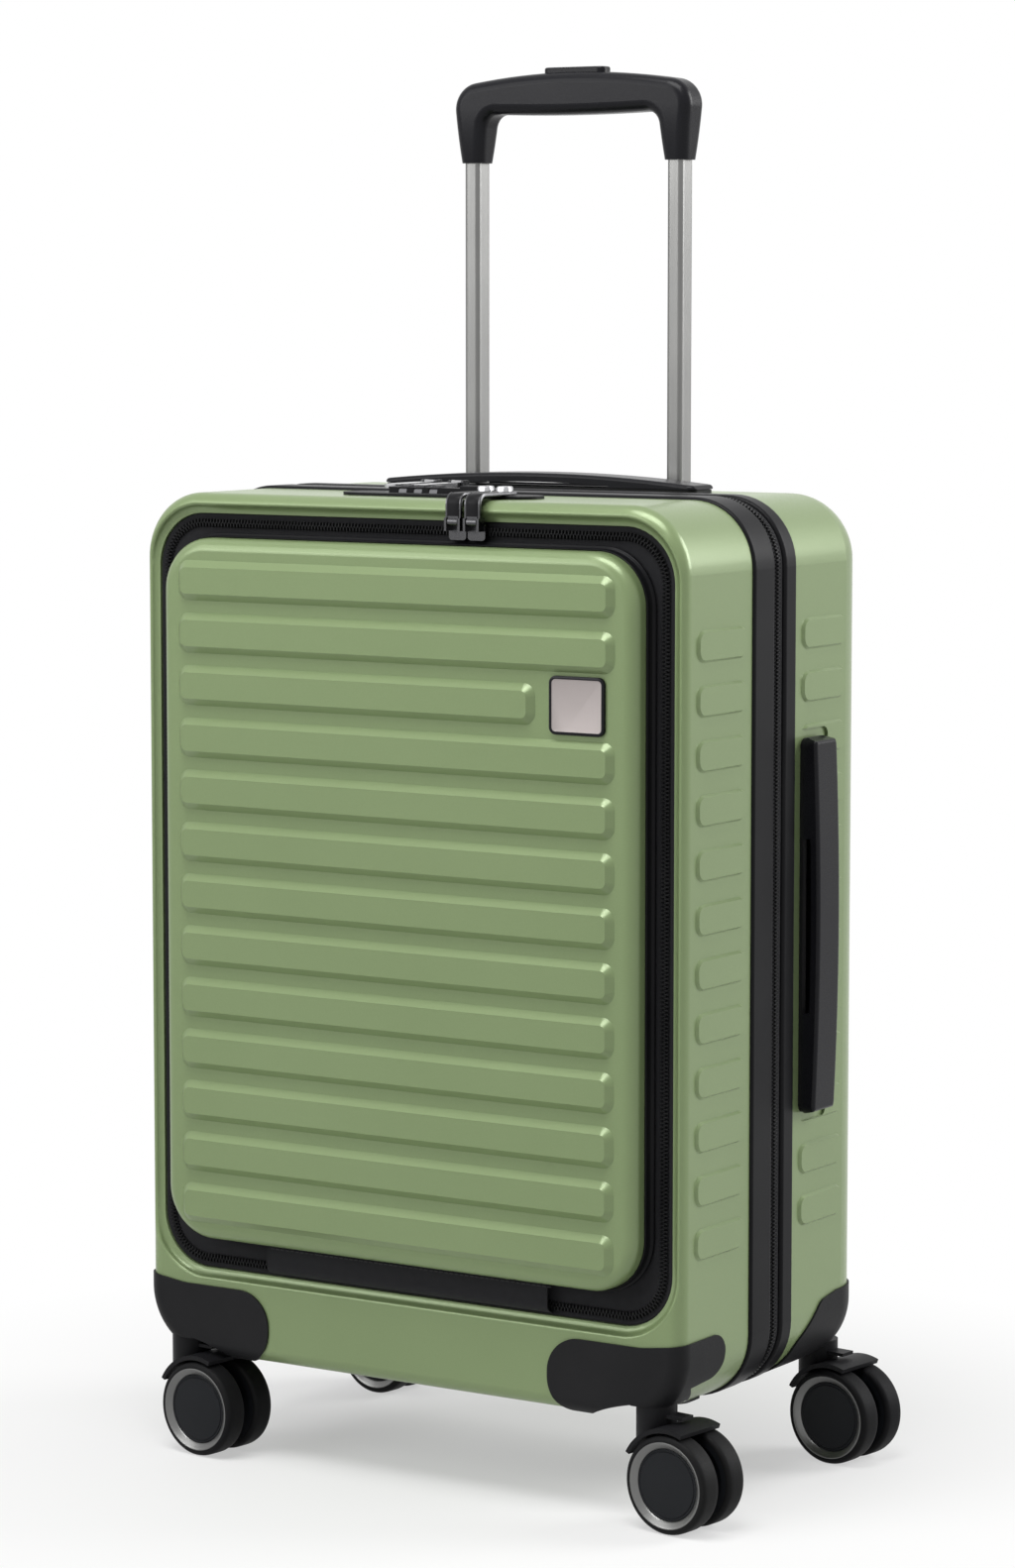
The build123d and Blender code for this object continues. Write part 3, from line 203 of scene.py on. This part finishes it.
def shell_material():
    """Satin moulded shell: even colour with a fine pearl and a thin clear coat."""
    material, tree, shader = new_material("green_shell")
    pearl = object_noise(tree, 2600.0, 1.0)
    tone = object_noise(tree, 9.0, 2.0)
    mixed = tree.nodes.new("ShaderNodeMath")
    mixed.operation = "MULTIPLY_ADD"
    mixed.inputs[1].default_value = 0.55
    tree.links.new(pearl, mixed.inputs[0])
    tree.links.new(spread(tree, tone, 0.15, 0.30), mixed.inputs[2])
    tree.links.new(two_colours(tree, mixed.outputs["Value"], GREEN_DEEP, GREEN), shader.inputs["Base Color"])
    tree.links.new(spread(tree, object_noise(tree, 700.0), 0.28, 0.36), shader.inputs["Roughness"])
    shader.inputs["Metallic"].default_value = 0.2
    shader.inputs["Specular IOR Level"].default_value = 0.3
    shader.inputs["Coat Weight"].default_value = 0.2
    shader.inputs["Coat Roughness"].default_value = 0.16
    bump(tree, shader, object_noise(tree, 900.0, 2.0), 0.25, 0.00003)
    return material


MATERIALS = {
    "green_shell": shell_material(),
    "black_plastic": grained("black_plastic", BLACK, BLACK_SOFT, 0.46),
    "black_rubber": grained("black_rubber", BLACK, BLACK_SOFT, 0.36, grain=2600.0, depth=0.00002, gloss=0.08),
    "black_fabric": woven("black_fabric", BLACK, GREY_DARK, 0.75),
    "lining_fabric": woven("lining_fabric", (0.040, 0.040, 0.043), (0.075, 0.075, 0.080), 0.8, thread=1.3),
    "tube_aluminium": grained("tube_aluminium", (0.17, 0.17, 0.166), ALUMINIUM, 0.36, metallic=1.0,
                              grain=900.0, depth=0.000004, stretch=(1, 1, 0.01)),
    "gunmetal": grained("gunmetal", (0.055, 0.055, 0.058), (0.08, 0.08, 0.083), 0.26, metallic=1.0,
                        depth=0.00002),
    "badge_metal": grained("badge_metal", (0.30, 0.27, 0.262), (0.34, 0.305, 0.297), 0.42, metallic=0.6),
    "wheel": grained("wheel", BLACK, BLACK_SOFT, 0.5),
    "steel": grained("steel", (0.45, 0.45, 0.45), (0.5, 0.5, 0.5), 0.3, metallic=1.0),
}
TYRE = grained("tyre", BLACK, (0.010, 0.010, 0.010), 0.55, grain=1200.0, gloss=0.07)
HUB_CAP = grained("hub_cap", (0.008, 0.009, 0.011), (0.012, 0.013, 0.015), 0.34, grain=2400.0, depth=0.00002)
TRIM = grained("trim_ring", (0.13, 0.13, 0.13), (0.18, 0.18, 0.175), 0.34, metallic=0.9)
COIL = grained("zip_coil", BLACK_SOFT, (0.022, 0.022, 0.023), 0.30)
CHROMED = grained("chromed", (0.40, 0.40, 0.41), CHROME, 0.18, metallic=1.0, depth=0.00001)
THREAD = woven("thread", (0.03, 0.03, 0.032), (0.05, 0.05, 0.053), 0.7, thread=0.4)
HOUSING = grained("housing_plastic", (0.008, 0.008, 0.009), (0.013, 0.013, 0.014), 0.5, grain=1500.0,
                  depth=0.00008)
GRIP = grained("grip_plastic", (0.006, 0.006, 0.008), (0.009, 0.009, 0.011), 0.28, grain=3000.0,
               depth=0.00002, gloss=0.13)

for subpart in frame["record"]["subparts"]:
    name = subpart["node"]
    chosen = MATERIALS[subpart["material_slot"]]
    if name.endswith("_housing"):
        chosen = HOUSING
    if name.endswith("_grip") or name == "trolley_button":
        chosen = GRIP
    if name.startswith("main_zip_pull"):
        chosen = CHROMED
    node = NODES[name]
    node.data.materials.clear()
    node.data.materials.append(chosen)


# Mesh building, in mm
def add_piece(name, body, verts, faces, materials, indices=None, sharp=40):
    mesh = bpy.data.meshes.new(name)
    mesh.from_pydata([Vector(v) * MM for v in verts], [], faces)
    for material in materials:
        mesh.materials.append(material)
    if indices:
        mesh.polygons.foreach_set("material_index", indices)
    work = bmesh.new()
    work.from_mesh(mesh)
    bmesh.ops.recalc_face_normals(work, faces=work.faces)
    work.to_mesh(mesh)
    work.free()
    mesh.polygons.foreach_set("use_smooth", [True] * len(mesh.polygons))
    mesh.set_sharp_from_angle(angle=math.radians(sharp))
    piece = bpy.data.objects.new(name, mesh)
    bpy.context.scene.collection.objects.link(piece)
    if body:
        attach(piece, body)
    return piece


def joined(rows):
    return [point for row in rows for point in row]


def between_rows(rows, closed, start=0):
    """Quads between equal loops of points, and from the last loop to the first where closed."""
    faces = []
    width = len(rows[0])
    for i in range(len(rows) if closed else len(rows) - 1):
        a = start + i * width
        b = start + (i + 1) % len(rows) * width
        for j in range(width):
            k = (j + 1) % width
            faces.append((a + j, a + k, b + k, b + j))
    return faces


def end_caps(rows, start=0):
    count = len(rows[0])
    last = start + (len(rows) - 1) * count
    return [tuple(range(start, start + count)), tuple(range(last, last + count))]


def merged(parts, closed):
    """Points, faces and material numbers of rings or capped bars, each given as (rows, material number)."""
    verts = []
    faces = []
    indices = []
    for rows, index in parts:
        added = between_rows(rows, closed, len(verts))
        if not closed:
            added += end_caps(rows, len(verts))
        verts += joined(rows)
        faces += added
        indices += [index] * len(added)
    return verts, faces, indices


def swept(name, body, rows, material, closed=True, sharp=40):
    """Closed loops of points joined into a ring or a capped bar."""
    verts, faces, indices = merged([(rows, 0)], closed)
    return add_piece(name, body, verts, faces, [material], indices, sharp)


def grown(outline, by):
    half, low, high, corner = outline
    return half + by, low - by, high + by, max(corner + by, 3.0)


def ring(outline, straight=30, arc=14):
    """(x, z, normal x, normal z) round an outline, from its lower right corner anticlockwise."""
    half, low, high, corner = outline
    right, floor, roof = half - corner, low + corner, high - corner
    centres = ((right, floor), (right, roof), (-right, roof), (-right, floor))
    points = []
    for index, (middle_x, middle_z) in enumerate(centres):
        for step in range(arc + 1):
            turn = math.radians(90 * (index - 1 + step / arc))
            normal = (math.cos(turn), math.sin(turn))
            points.append((middle_x + corner * normal[0], middle_z + corner * normal[1], *normal))
        start = points[-1]
        ahead = centres[(index + 1) % 4]
        stop = (ahead[0] + corner * start[2], ahead[1] + corner * start[3])
        for step in range(1, straight):
            t = step / straight
            x = start[0] + (stop[0] - start[0]) * t
            z = start[1] + (stop[1] - start[1]) * t
            points.append((x, z, start[2], start[3]))
    return points


def walk(outline, pitch, shift):
    """Evenly spaced points round an outline, with their normals."""
    points = ring(outline, 2, 48)
    points.append(points[0])
    lengths = [math.dist(a[:2], b[:2]) for a, b in zip(points, points[1:])]
    total = sum(lengths)
    count = round(total / pitch)
    places = []
    index = 0
    done = 0.0
    for k in range(count):
        at = (k + shift) * total / count
        while done + lengths[index] < at:
            done += lengths[index]
            index += 1
        t = (at - done) / lengths[index]
        places.append(tuple(p + (q - p) * t for p, q in zip(points[index], points[index + 1])))
    return places


def in_hinge(x, z):
    return x < 0 and abs(z - HINGE_MID_Z) < HINGE_HALF


def blocks(name, body, places, material):
    """Many small blocks with narrowed tops, each given as (middle, along, across, up, half sizes, height)."""
    verts = []
    faces = []
    for middle, along, across, up, half_along, half_across, height in places:
        base = len(verts)
        for level, keep in ((0.0, 1.0), (0.62, 1.0), (1.0, 0.62)):
            for sa, sb in ((-1, -1), (1, -1), (1, 1), (-1, 1)):
                side = along * (sa * half_along * keep)
                verts.append(middle + side + across * (sb * half_across * keep) + up * (height * level))
        for level in (0, 4):
            for j in range(4):
                a = base + level + j
                b = base + level + (j + 1) % 4
                faces.append((a, b, b + 4, a + 4))
        faces.append((base + 8, base + 9, base + 10, base + 11))
        faces.append((base + 3, base + 2, base + 1, base))
    return add_piece(name, body, verts, faces, [material], sharp=25)


# Door zip: tapes and interlocking teeth on both sides of the ring
TOOTH_PITCH = 2.1
TOOTH_HALF = 0.46
TOOTH_REACH = (-2.3, 0.5)
DOOR_TOOTH_HEIGHT = 1.6
TAPE_GAP = 0.15
TAPE_THICK = 1.2
PANEL_TAPE_Y = -87.5
FRAME_TAPE_Y = -87.2
FRAME_TAPE_RIDGE = 0.25


def door_tooth_places(side, shift):
    half = (TOOTH_REACH[1] - TOOTH_REACH[0]) / 2
    places = []
    for x, z, nx, nz in walk(grown(OPENING, -DOOR_ZIP_INSET), TOOTH_PITCH, shift):
        normal = Vector((nx, 0, nz)).normalized()
        along = Vector((-normal.z, 0, normal.x))
        middle = Vector((x, DOOR_BACK_Y + 0.2, z)) + normal * (side * (TOOTH_REACH[0] + TOOTH_REACH[1]) / 2)
        places.append((middle, along, normal, Vector((0, -1, 0)), TOOTH_HALF, half, DOOR_TOOTH_HEIGHT))
    return places


def tape_rows(outer, inner, front, ridge):
    """Flat ring between two outlines, with a low ridge along its first edge."""
    back = front + TAPE_THICK
    crest = front - ridge
    section = [(0, back), (0, front), (0.12, crest), (0.24, crest), (0.36, front), (0.7, front), (1, front),
               (1, back)]
    rows = []
    for a, b in zip(ring(outer), ring(inner)):
        rows.append([(a[0] + (b[0] - a[0]) * t, y, a[1] + (b[1] - a[1]) * t) for t, y in section])
    return rows


def make_door_zip():
    panel_start = grown(DOOR, -4.0)
    panel_edge = grown(OPENING, -DOOR_ZIP_INSET - TAPE_GAP)
    frame_start = grown(OPENING, -0.4)
    frame_edge = grown(OPENING, -DOOR_ZIP_INSET + TAPE_GAP)
    cloth = MATERIALS["black_fabric"]
    panel = swept("door_zip_panel_tape", "door", tape_rows(panel_start, panel_edge, PANEL_TAPE_Y, 0.0), cloth)
    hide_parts("door_zip_panel")
    edge = swept("door_zip_frame_tape", "front_half",
                 tape_rows(frame_start, frame_edge, FRAME_TAPE_Y, FRAME_TAPE_RIDGE), cloth)
    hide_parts("door_zip_frame")
    inner = blocks("door_zip_panel_teeth", "door", door_tooth_places(1, 0.0), COIL)
    outer = blocks("door_zip_frame_teeth", "front_half", door_tooth_places(-1, 0.5), COIL)


# Binding section: (out from the door's wall, y)
BINDING = [(0.05, -95.0), (0.55, -95.3), (0.95, -94.9), (1.05, -94.2), (1.05, -90.6), (1.5, -90.2), (2.1, -90.0),
           (2.6, -89.5), (2.7, -88.8), (2.5, -88.1), (2.0, -87.6), (0.05, -87.6)]


def make_door_bead():
    """Black binding up the wall of the door, with a rolled bead at its foot."""
    rows = [[(x + nx * out, y, z + nz * out) for out, y in BINDING] for x, z, nx, nz in ring(DOOR)]
    swept("door_edge_bead", "door", rows, MATERIALS["black_rubber"], sharp=60)


# Main zip: tapes and teeth, left out along the fabric hinge. Tape section: (share of the width, out)
MAIN_TAPE = [(0.0, -2.6), (0.0, -0.7), (0.10, -0.35), (0.26, -0.35), (0.38, -0.7), (0.7, -0.6), (1.0, -0.6),
             (1.0, -2.6)]
MAIN_TOOTH_OFFSET = 0.85
MAIN_TOOTH_DEPTH = 0.75
MAIN_TOOTH_REACH = 1.3
MAIN_TOOTH_HEIGHT = 1.35


def main_path():
    """Points round the case from the foot of the hinge to its head."""
    points = ring(CASE, 40, 16)
    first = next(i for i, p in enumerate(points) if in_hinge(p[0], p[1]))
    turned = points[first:] + points[:first]
    kept = [p for p in turned if not in_hinge(p[0], p[1])]
    left = -CASE[0]
    return [(left, HINGE_MID_Z - HINGE_HALF, -1, 0)] + kept + [(left, HINGE_MID_Z + HINGE_HALF, -1, 0)]


def make_main_zip(name, body, outer_y, sign, shift):
    """Tape from outer_y to the parting line, sign 1 on the front half and -1 on the rear half."""
    width = PARTING_Y - sign * TAPE_GAP - outer_y
    rows = []
    for x, z, nx, nz in main_path():
        rows.append([(x + nx * out, outer_y + width * share, z + nz * out) for share, out in MAIN_TAPE])
    tape = swept(name + "_tape", body, rows, MATERIALS["black_fabric"], closed=False)
    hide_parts(name)
    places = []
    for x, z, nx, nz in walk(CASE, TOOTH_PITCH, shift):
        if in_hinge(x, z):
            continue
        normal = Vector((nx, 0, nz)).normalized()
        along = Vector((-normal.z, 0, normal.x))
        middle = Vector((x, PARTING_Y - sign * MAIN_TOOTH_OFFSET, z)) - normal * MAIN_TOOTH_DEPTH
        places.append((middle, along, Vector((0, 1, 0)), normal, TOOTH_HALF, MAIN_TOOTH_REACH, MAIN_TOOTH_HEIGHT))
    teeth = blocks(name + "_teeth", body, places, COIL)


# Fabric hinges: cloth strips that stay where they are built, with stitch rows that ride the halves and the door
STITCH_HALF = 1.15
STITCH_THIN = 0.32


def make_main_hinge():
    left = -CASE[0]
    rows = []
    steps = 28
    for k in range(41):
        z = HINGE_MID_Z - HINGE_HALF + 2 * HINGE_HALF * k / 40
        outer = []
        inner = []
        for j in range(steps + 1):
            y = ZIP_FRONT_Y + (ZIP_REAR_Y - ZIP_FRONT_Y) * j / steps
            swell = math.sin(math.pi * j / steps) ** 2
            outer.append((left + 0.2 - swell, y, z))
            inner.append((left + 1.3 - swell, y, z))
        rows.append(outer + inner[::-1])
    strip = swept("main_hinge_cloth", None, rows, MATERIALS["black_fabric"], closed=False)
    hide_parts("main_hinge_front", "main_hinge_rear")
    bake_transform(strip)
    up, deep, out = Vector((0, 0, 1)), Vector((0, 1, 0)), Vector((-1, 0, 0))
    for body, y in (("front_half", 1.3), ("rear_half", 9.7)):
        places = []
        for k in range(124):
            middle = Vector((left + 0.1, y, HINGE_MID_Z - 197 + 3.2 * k))
            places.append((middle, up, deep, out, STITCH_HALF, STITCH_THIN, 0.5))
        blocks(f"main_hinge_stitches_{body}", body, places, THREAD)


# Middle of the door's hinge cloth, from the frame to the door: (y, z)
DOOR_HINGE_LINE = [(-87.2, 106.8), (-88.6, 107.2), (-90.2, 107.9), (-91.6, 108.8), (-92.6, 109.7), (-93.2, 110.6),
                   (-93.5, 111.6), (-93.6, 113.0), (-93.6, 115.0), (-93.5, 118.0), (-93.5, 121.5), (-93.5, 125.1)]
DOOR_HINGE_HALF_THICK = 0.45


def make_door_hinge():
    thick = DOOR_HINGE_HALF_THICK
    rows = []
    for k in range(47):
        x = -DOOR_HINGE_HALF + 2 * DOOR_HINGE_HALF * k / 46
        front = [(x, y - thick, z) for y, z in DOOR_HINGE_LINE]
        back = [(x, y + thick, z) for y, z in DOOR_HINGE_LINE[::-1]]
        rows.append(front + back)
    strip = swept("door_hinge_cloth", None, rows, MATERIALS["black_fabric"], closed=False)
    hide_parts("door_hinge_upper", "door_hinge_lower")
    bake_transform(strip)
    along, up, out = Vector((1, 0, 0)), Vector((0, 0, 1)), Vector((0, -1, 0))
    places = []
    for k in range(56):
        middle = Vector((-DOOR_HINGE_HALF + 4 + 3.3 * k, -93.9, 122.5))
        places.append((middle, along, up, out, STITCH_HALF, STITCH_THIN, 0.45))
    blocks("door_hinge_stitches", "door", places, THREAD)


# Linings: trays of cloth, as rings of (growth, y) from the rim to the middle of the panel
LINING_RIM = grown(CASE, -3.2)
POCKET_STEPS = [(-6.2, -82.6), (-11.5, -82.5), (-13.0, -81.6), (-13.4, -74.0), (-13.6, -64.0), (-14.0, -55.0),
                (-15.5, -51.6), (-19.0, -50.8), (-50.0, -50.8), (-90.0, -50.8), (-130.0, -50.8)]
REAR_STEPS = [(3.0, 25.8), (0.0, 27.0), (-0.6, 40.0), (-0.8, 54.0), (-1.6, 63.0), (-4.0, 66.0), (-40.0, 66.4),
              (-80.0, 66.4), (-120.0, 66.4)]
FRONT_STEPS = [(2.0, -24.2), (0.0, -25.4), (-0.6, -36.0), (-1.6, -44.5), (-4.0, -47.4), (-40.0, -47.8),
               (-90.0, -47.8), (-135.0, -47.8)]


def stepped(outline, steps):
    return [(grown(outline, by), y) for by, y in steps]


def make_tray(name, body, rings, ripple, replaced=()):
    rows = []
    for outline, y in rings:
        row = []
        for x, z, nx, nz in ring(outline, 26, 10):
            broad = math.sin(0.061 * x + 0.9) * math.sin(0.047 * z)
            row.append((x, y + ripple * (broad + 0.5 * math.sin(0.13 * z + 0.05 * x)), z))
        rows.append(row)
    verts = joined(rows)
    faces = between_rows(rows, False)
    faces.append(end_caps(rows)[1])
    piece = add_piece(name, body, verts, faces, [MATERIALS["lining_fabric"]], sharp=70)
    if replaced:
        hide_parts(*replaced)


def make_linings():
    make_tray("front_pocket_cloth", "front_half", stepped(OPENING, POCKET_STEPS),
              0.25, ("front_pocket",))
    make_tray("rear_lining", "rear_half", [(LINING_RIM, 25.6)] + stepped(REAR_LINING, REAR_STEPS),
              0.4)
    make_tray("front_lining", "front_half", [(LINING_RIM, -24.0)] + stepped(FRONT_LINING, FRONT_STEPS),
              0.4)


# Wheels: tyre, hub and trim ring turned from profiles of (radius, width)
TYRE_PROFILE = [(23.4, 4.4), (24.5, 4.4), (25.5, 4.8), (26.2, 5.6), (26.45, 6.8), (26.5, 9.0), (26.5, 13.4),
                (26.42, 15.4), (26.1, 16.6), (25.4, 17.4), (24.6, 17.8), (23.8, 17.9), (23.4, 17.9)]
TRIM_PROFILE = [(23.4, 14.9), (23.4, 17.5), (23.2, 17.82), (22.8, 17.9), (22.35, 17.72), (21.6, 17.2),
                (20.4, 16.3), (19.75, 15.8), (19.45, 15.4), (19.3, 14.9)]
HUB_PROFILE = [(19.3, 14.7), (19.3, 15.3), (19.0, 15.55), (18.5, 15.6), (18.2, 15.3), (17.8, 15.3), (17.5, 15.7),
               (13.0, 15.95), (7.0, 16.2), (0.0, 16.3), (0.0, 14.3), (3.05, 14.3), (3.05, 4.4), (9.0, 4.4),
               (9.0, 8.4), (20.5, 8.4), (20.5, 4.4), (23.4, 4.4), (23.4, 14.7)]
WHEEL_STEPS = 96


def make_wheel(row, name, side, where):
    flip = 1 if where == "back" else -1
    place = (Matrix.Translation((side * CASTER_X, CASTER_Y[row], 0))
             @ Matrix.Rotation(math.radians(CASTER_YAW), 4, "Z")
             @ Matrix.Translation((CASTER_TRAIL, 0, WHEEL_RADIUS)))
    parts = []
    for index, profile in enumerate((TYRE_PROFILE, HUB_PROFILE, TRIM_PROFILE)):
        rows = []
        for k in range(WHEEL_STEPS):
            turn = 2 * math.pi * k / WHEEL_STEPS
            rows.append([place @ Vector((r * math.cos(turn), flip * w, r * math.sin(turn))) for r, w in profile])
        parts.append((rows, index))
    verts, faces, indices = merged(parts, True)
    wheel = f"{row}_{name}_wheel_{where}"
    piece = add_piece(f"{wheel}_turned", wheel, verts, faces, [TYRE, HUB_CAP, TRIM], indices, 32)
    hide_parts(wheel)


# Badge: a bare metal face in a black border, as rings of (growth, y)
BADGE_HALF = (17.0, 15.5)
BADGE_CORNER = 4.0
BADGE_STEPS = [(0.0, -106.0), (0.0, -107.3), (-0.2, -107.75), (-0.6, -107.95), (-1.5, -107.95), (-1.75, -107.6),
               (-2.0, -107.55)]
BADGE_BORDER_STEPS = 5


def make_badge():
    outline = (BADGE_HALF[0], BADGE_Z - BADGE_HALF[1], BADGE_Z + BADGE_HALF[1], BADGE_CORNER)
    rows = []
    for by, y in BADGE_STEPS:
        half, low, high, _ = grown(outline, by)
        rows.append([(x + BADGE_X, y, z) for x, z, nx, nz in ring((half, low, high, BADGE_CORNER + by), 4, 8)])
    count = len(rows[0])
    back, face = end_caps(rows)
    faces = between_rows(rows, False) + [face, back]
    indices = [0] * (BADGE_BORDER_STEPS * count) + [1] * count + [1, 0]
    piece = add_piece("badge", "door", joined(rows), faces, [GRIP, MATERIALS["badge_metal"]], indices, 30)
    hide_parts("badge_plate")


# Door pulls: black straps between dark rails, with an eye on the pin and a chromed tab
PULL_RISES = (2.0, 5.5, 9.3)
PULL_BEND = 5
PULL_BEND_STEPS = 8
PULL_RUN_Y = (-80.0, -70.0, -61.0)
STRAP_SECTION = [(-3.7, -0.9), (3.7, -0.9), (3.7, 0.75), (3.1, 0.95), (-3.1, 0.95), (-3.7, 0.75)]
RAIL_SECTION = [(3.7, -1.0), (4.7, -1.0), (5.0, -0.6), (5.0, 0.6), (4.7, 1.05), (4.0, 1.1), (3.7, 0.8)]
EYE_STEPS = [(-3.3, 1.7), (-3.0, 2.1), (3.0, 2.1), (3.3, 1.7)]
NECK_SECTION = [(-3.3, -1.0), (3.3, -1.0), (3.3, 1.0), (-3.3, 1.0)]
NECK_HEIGHT = 3.0
TAB_Y = -65.0
TAB_HALF = 4.0
TAB_CORNER = 2.6
TAB_STEPS = [(543.4, 0.0), (546.0, 0.0), (546.7, 0.35), (547.0, 1.0)]


def pull_path():
    """(y, z, lean in degrees) up from the pin, round the rim and back along the top of the case."""
    pin_y, pin_z = DOOR_PIN
    path = [(pin_y, pin_z + rise, 0) for rise in PULL_RISES]
    bend_z = pin_z + PULL_RISES[-1]
    for step in range(1, PULL_BEND_STEPS + 1):
        lean = 90 * step / PULL_BEND_STEPS
        turn = math.radians(lean)
        path.append((pin_y + PULL_BEND - PULL_BEND * math.cos(turn), bend_z + PULL_BEND * math.sin(turn), lean))
    return path + [(y, bend_z + PULL_BEND, 90) for y in PULL_RUN_Y]


def pull_bar(x, section):
    rows = []
    for y, z, lean in pull_path():
        turn = math.radians(lean)
        out_y, out_z = -math.cos(turn), math.sin(turn)
        rows.append([(x + a, y + out_y * b, z + out_z * b) for a, b in section])
    return rows


def make_door_pull(side):
    x = DOOR_SLIDER_X[side]
    pin_y, pin_z = DOOR_PIN
    parts = [(pull_bar(x, STRAP_SECTION), 0)]
    for sign in (1, -1):
        parts.append((pull_bar(x, [(sign * a, b) for a, b in RAIL_SECTION]), 1))
    turns = [math.pi * s / 8 for s in range(16)]
    eye = []
    for reach, radius in EYE_STEPS:
        eye.append([(x + reach, pin_y + radius * math.cos(t), pin_z + radius * math.sin(t)) for t in turns])
    parts.append((eye, 1))
    neck = [[(x + a, pin_y - b, pin_z + rise) for a, b in NECK_SECTION] for rise in (0.0, NECK_HEIGHT)]
    parts.append((neck, 1))
    tab = []
    for level, inset in TAB_STEPS:
        half = TAB_HALF - inset
        outline = ring((half, -half, half, TAB_CORNER - inset), 2, 5)
        tab.append([(x + px, TAB_Y + py, level) for px, py, nx, ny in outline])
    parts.append((tab, 2))
    verts, faces, indices = merged(parts, False)
    piece = add_piece(f"door_pull_{side}_strap", f"door_pull_{side}", verts, faces,
                      [MATERIALS["black_rubber"], MATERIALS["gunmetal"], CHROMED], indices, 35)
    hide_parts(f"door_zip_pull_{side}")


make_door_zip()
make_door_bead()
make_main_zip("main_zip_front", "front_half", ZIP_FRONT_Y, 1, 0.0)
make_main_zip("main_zip_rear", "rear_half", ZIP_REAR_Y, -1, 0.5)
make_main_hinge()
make_door_hinge()
make_linings()
for row in ("front", "rear"):
    for name, side in (("left", -1), ("right", 1)):
        for where in ("front", "back"):
            make_wheel(row, name, side, where)
make_badge()
for side in ("left", "right"):
    make_door_pull(side)


# Floor, light and camera
def seen_level(tree, unseen, seen):
    """One level where the camera or a reflection looks, another for the light that falls on the object."""
    rays = tree.nodes.new("ShaderNodeLightPath")
    either = tree.nodes.new("ShaderNodeMath")
    either.operation = "MAXIMUM"
    any_of = tree.nodes.new("ShaderNodeMath")
    any_of.operation = "MAXIMUM"
    tree.links.new(rays.outputs["Is Camera Ray"], either.inputs[0])
    tree.links.new(rays.outputs["Is Glossy Ray"], either.inputs[1])
    tree.links.new(either.outputs["Value"], any_of.inputs[0])
    tree.links.new(rays.outputs["Is Transmission Ray"], any_of.inputs[1])
    return spread(tree, any_of.outputs["Value"], unseen, seen, (0.0, 1.0))


def make_floor():
    """Pale floor that keeps the object's shadow and goes over to white around it."""
    bpy.ops.mesh.primitive_circle_add(vertices=96, radius=FLOOR_RADIUS, fill_type="NGON", location=(0, 0, 0))
    floor = bpy.context.object
    floor.name = "floor"
    material, tree, shader = new_material("floor")
    shader.inputs["Base Color"].default_value = (*FLOOR_TONE, 1)
    shader.inputs["Roughness"].default_value = 0.7
    glow = tree.nodes.new("ShaderNodeEmission")
    glow.inputs["Color"].default_value = WHITE
    mixed = tree.nodes.new("ShaderNodeMixShader")
    away = tree.nodes.new("ShaderNodeVectorMath")
    away.operation = "LENGTH"
    tree.links.new(object_place(tree), away.inputs[0])
    white = tree.nodes.new("ShaderNodeMath")
    white.operation = "MULTIPLY"
    tree.links.new(seen_level(tree, 0.0, 1.0), white.inputs[0])
    tree.links.new(spread(tree, away.outputs["Value"], SHADOW_WHITE, 1.0, SHADOW_REACH), white.inputs[1])
    tree.links.new(white.outputs["Value"], mixed.inputs["Fac"])
    tree.links.new(shader.outputs["BSDF"], mixed.inputs[1])
    tree.links.new(glow.outputs["Emission"], mixed.inputs[2])
    tree.links.new(mixed.outputs["Shader"], tree.nodes["Material Output"].inputs["Surface"])
    floor.data.materials.append(material)


def make_world():
    world = bpy.data.worlds.new("studio")
    bpy.context.scene.world = world
    world.use_nodes = True
    tree = world.node_tree
    back = tree.nodes["Background"]
    back.inputs["Color"].default_value = WHITE
    tree.links.new(seen_level(tree, WORLD_LEVEL, 1.0), back.inputs["Strength"])


def make_camera():
    data = bpy.data.cameras.new("camera")
    data.sensor_fit = "AUTO"
    data.sensor_width = SENSOR
    data.lens = CAMERA_LENS
    data.clip_end = CAMERA_REACH
    camera = bpy.data.objects.new("camera", data)
    camera.location = CAMERA_PLACE
    camera.rotation_euler = (math.radians(90 - CAMERA_PITCH), 0, math.radians(CAMERA_AZIMUTH))
    bpy.context.scene.collection.objects.link(camera)
    bpy.context.scene.camera = camera


def area_light(name, place, target, size, power):
    data = bpy.data.lights.new(name, "AREA")
    data.shape = "RECTANGLE"
    data.size, data.size_y = size
    data.energy = power
    lamp = bpy.data.objects.new(name, data)
    lamp.location = place
    aim = Vector(target) - Vector(place)
    lamp.rotation_euler = aim.to_track_quat("-Z", "Y").to_euler()
    lamp.visible_camera = False
    bpy.context.scene.collection.objects.link(lamp)


make_floor()
make_world()
make_camera()
for name, lamp in LAMPS.items():
    area_light(name, *lamp)
bpy.context.scene.view_settings.view_transform = "Standard"
